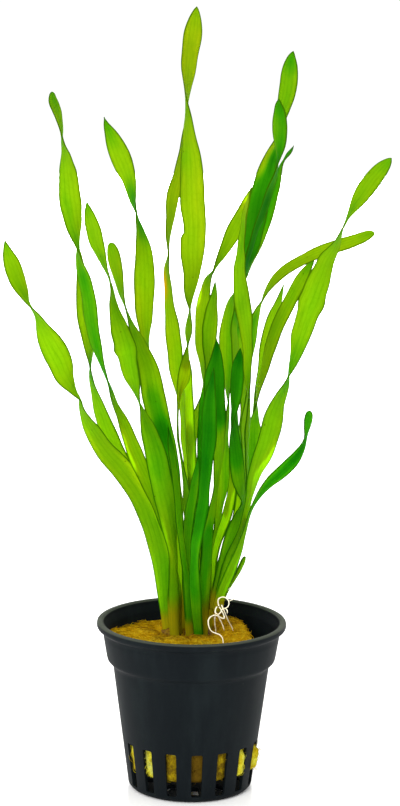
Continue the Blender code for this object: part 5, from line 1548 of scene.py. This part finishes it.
        (22.1, 90.8, 320), (24.7, 93.1, 338), (27.2, 95.5, 352), (29.5, 98.2, 328), (31.1, 101.1, 303),
        (32.1, 104.1, 282), (32.6, 107, 302), (32.8, 109.9, 315), (32.6, 111.7, 320)),
         (Patch(84, 106, 0.25, Side.MIDDLE), Patch(92, 108, 0.1), Patch(50, 84, -0.45),
          Patch(50, 76, -0.15, Side.RIGHT))),
    Leaf("leaf_right_stub", Age.LIME, Foot.GREEN, 2, 2, 1, RAISED_FOOT, (2.6, 2.6, 1.3, 0.9), (
        (8.3, 55.3, 315), (10, 58.6, 315), (11.7, 61.6, 315), (13.3, 64.3, 316), (14.4, 66.7, 318),
        (15.2, 68.7, 320))),
    Leaf("leaf_bright_base", Age.LIME, Foot.SHORT, 3.4, 7, 0, RAISED_FOOT, (2.9, 2.3, 1.6, 0.3), (
        (5.2, 50.2, 14), (5.4, 56.5, 19), (5.8, 61.5, 34), (6.3, 66.9, 49), (7.1, 71.4, 50),
        (8.2, 75.5, 42), (9.5, 79.4, 36), (10.4, 83, 34), (11.1, 86.8, 38), (11.4, 91.2, 50),
        (11, 95.6, 66), (10.5, 100, 70)),
         (Patch(54, 82, -0.38), Patch(78, 92, -0.15, Side.RIGHT))),
    Leaf("leaf_inner_left", Age.SHADED, Foot.SHORT, 4, 9, 0, BED_FOOT, (3.9, -2.8, -4.6, 1.5), (
        (-0.3, 44.4, 346), (-0.8, 52.5, 336), (-1.7, 61.5, 305), (-3, 71.9, 298), (-4, 80.7, 300),
        (-4.8, 88.7, 300), (-5.7, 95.4, 300), (-6.6, 101.3, 298), (-7.4, 107.1, 294)),
         (Patch(66, 98, -0.15), Patch(58, 84, -0.1, Side.RIGHT))),
    Leaf("leaf_inner_right", Age.SHADED, Foot.PALE, 4.3, 9, 0, BED_FOOT, (7.6, 5.6, 2.3, -4.2), (
        (0.6, 44.1, 14), (0.1, 52.5, 24), (-0.7, 61.5, 54), (-1.4, 70.4, 58), (-1.3, 76.3, 50),
        (-0.7, 82.2, 46), (0.3, 88.2, 50), (1.1, 93.5, 58), (1.6, 98.5, 62)),
         (Patch(56, 80, -0.12),)),
    Leaf("leaf_front_stub", Age.DEEP, Foot.GREEN, 2.6, 2, 1, BED_FOOT, (4.6, 4.3, 2.2, 1.7), (
        (1.9, 43.5, 44), (1.4, 49.5, 42), (0.8, 54.9, 40), (0.5, 59.1, 38), (0.3, 63.3, 38),
        (0.2, 65.7, 38))),
)


ROOTS = (
    Root("root_loop", (
        (8, 53.6, -2.8), (8.6, 52.6, -2.9), (9.2, 51.4, -3.1), (9.4, 50.1, -3.5), (8.5, 50.3, -4),
        (7.6, 50.8, -4.6), (6.5, 51, -5.2), (5.5, 50.5, -5.8), (4.9, 49.6, -6.3), (4.9, 48.4, -6.8),
        (5.2, 47.2, -7.3), (6, 46.1, -7.8), (7.1, 45.6, -8.3), (8.3, 45.1, -8.8), (9, 44.2, -9.3),
        (9.3, 42.6, -9.6)), "root_loop"),
    Root("root_right", (
        (8.6, 54.2, -4.2), (9.2, 52.8, -4.2), (9.8, 51.4, -3.4), (10.4, 49.9, -1.8), (11.1, 48.6, 0),
        (11.7, 47.5, 1.6), (12.2, 46, 2.4)), "root_right"),
    Root("root_middle", (
        (7.6, 52, 0.2), (7.8, 50.6, 0.5), (8.3, 49.6, 1.4), (8.8, 48.6, 2.4), (9.3, 47.2, 3.2),
        (9.6, 45.6, 3.8)), "root_middle"),
    Root("root_left", (
        (6.9, 51.4, 2.6), (6.7, 50, 3), (6.7, 49, 3.6), (6.8, 48, 4.2), (7, 46.9, 4.8),
        (7.1, 45.6, 5.2)), "root_left"),
    Root("root_ring_upper", (
        (7.9, 53.8, -4.2), (7.6, 54.9, -4.4), (7.7, 55.7, -4.6), (8.2, 56.3, -4.8), (9, 56.5, -5),
        (10.1, 56.1, -5.2), (10.7, 55.2, -5.4), (10.7, 54.1, -5.6), (10.1, 53.3, -5.8),
        (9.2, 53.1, -6)), "root_ring_upper"),
    Root("root_ring_lower", (
        (7.3, 53.6, -7), (6.9, 52.7, -7.1), (6.9, 51.8, -7.2), (7.6, 51.3, -7.3), (8.4, 51.9, -7.4),
        (8.8, 52.8, -7.5), (9.6, 53.1, -7.6), (10.3, 52.5, -7.7), (10.3, 51.6, -7.8)),
         "root_ring_lower"),
    Root("root_hair", (
        (9.5, 57, -4.6), (9.9, 58, -4.7), (11, 59.2, -4.8), (11.9, 59.5, -4.9), (12.8, 58.3, -5),
        (13.5, 57.3, -5.1), (13.2, 56.4, -5.2), (11.9, 55.8, -5.3), (10.8, 55.3, -5.4)),
         start_radius=0.12, end_radius=0.1),
)

CROWNS = (
    Crown("crown_left_stem", "crown_left", (-5.9, 7.6, 42.8), (3.2, 5.4, 1.1), 2.6),
    Crown("crown_centre_stem", "crown_centre", (1.9, 7.7, 42.8), (4.2, 6.6, 1.1), 2.8),
    Crown("crown_raised_stem", "crown_raised", (7.7, 3.5, 51.9), (1.6, 4.6, 1.1), 2.2),
)


@dataclass
class Studio:
    """The pale floor, the white room, its soft lights and the camera of the picture."""

    floor_half: float = 12.0
    focal_px: float = 2797.5
    picture_height_px: int = 806
    sensor_mm: float = 36.0
    roll: float = math.radians(-0.649)
    room: str = "#FFFFFF"
    room_strength: float = 1.08

    def lay_floor(self, finish: bpy.types.Material) -> None:
        """Lay the paper floor just under the pot."""
        mesh = bpy.data.meshes.new("studio_floor")
        reach = self.floor_half
        mesh.from_pydata([(-reach, -reach, 0), (reach, -reach, 0), (reach, reach, 0), (-reach, reach, 0)],
                         [], [(0, 1, 2, 3)])
        floor = add_piece("studio_floor", mesh, finish)
        floor.location.z = -0.0002

    def light_room(self) -> None:
        """Fill the room with white light and add soft lamps behind and before the plant."""
        world = bpy.data.worlds.new("white_room")
        world.use_nodes = True
        sky = world.node_tree.nodes["Background"]
        sky.inputs["Color"].default_value = linear(self.room)
        sky.inputs["Strength"].default_value = self.room_strength
        bpy.context.scene.world = world
        lamps = (("back_window", (0.0, 1.5, 0.62), 0.34, 1.2, 42.0),
                 ("front_softbox", (-0.7, -1.5, 0.9), 1.0, 1.0, 22.0))
        for name, spot, width, height, watts in lamps:
            lamp = bpy.data.lights.new(name, "AREA")
            lamp.shape = "RECTANGLE"
            lamp.size = width
            lamp.size_y = height
            lamp.energy = watts
            holder = bpy.data.objects.new(name, lamp)
            holder.location = spot
            holder.visible_glossy = False
            aim = Vector((0, 0, 0.11)) - Vector(spot)
            holder.rotation_euler = aim.to_track_quat("-Z", "Y").to_euler()
            bpy.context.scene.collection.objects.link(holder)

    def stand_camera(self) -> None:
        """Stand the camera where the picture was taken from, with its small roll."""
        data = bpy.data.cameras.new("picture_camera")
        data.sensor_fit = "VERTICAL"
        data.sensor_width = data.sensor_height = self.sensor_mm
        data.lens = self.focal_px / self.picture_height_px * self.sensor_mm
        data.clip_start, data.clip_end = 0.01, 100.0
        camera = bpy.data.objects.new("picture_camera", data)
        ahead = (AIM - EYE).normalized()
        right = ahead.cross(Vector((0, 0, 1))).normalized()
        up = right.cross(ahead)
        c, s = math.cos(self.roll), math.sin(self.roll)
        axes = (right * c - up * s, right * s + up * c, -ahead)
        camera.matrix_world = Matrix.Translation(EYE * MM) @ Matrix(axes).transposed().to_4x4()
        bpy.context.scene.collection.objects.link(camera)
        bpy.context.scene.camera = camera

    def build(self, paper: bpy.types.Material) -> None:
        """Set up the whole studio."""
        self.stand_camera()
        self.lay_floor(paper)
        self.light_room()
        bpy.context.scene.view_settings.view_transform = "Standard"


def main() -> None:
    """Build the studio, the pot, the wool and the plant, in that order."""
    logging.basicConfig(level=logging.INFO, format="%(name)s %(message)s")
    Studio().build(MattPaper().make())
    NetPot().build(MouldedPolypropylene().make())
    RockWoolPlug().build(SpunRockWool().make())
    stem = PlantFlesh("crown_flesh", "#7C5E08", "#523208", 1.6, 0.42, 0.6).make()
    for crown in CROWNS:
        crown.build(stem)
    Foliage().build(LeafBlade().make())
    flesh = PlantFlesh("root_flesh", "#FFF8DC", "#E8D698", 1.2, 0.55).make()
    for root in ROOTS:
        root.build(10, flesh)


if __name__ == "__main__":
    main()
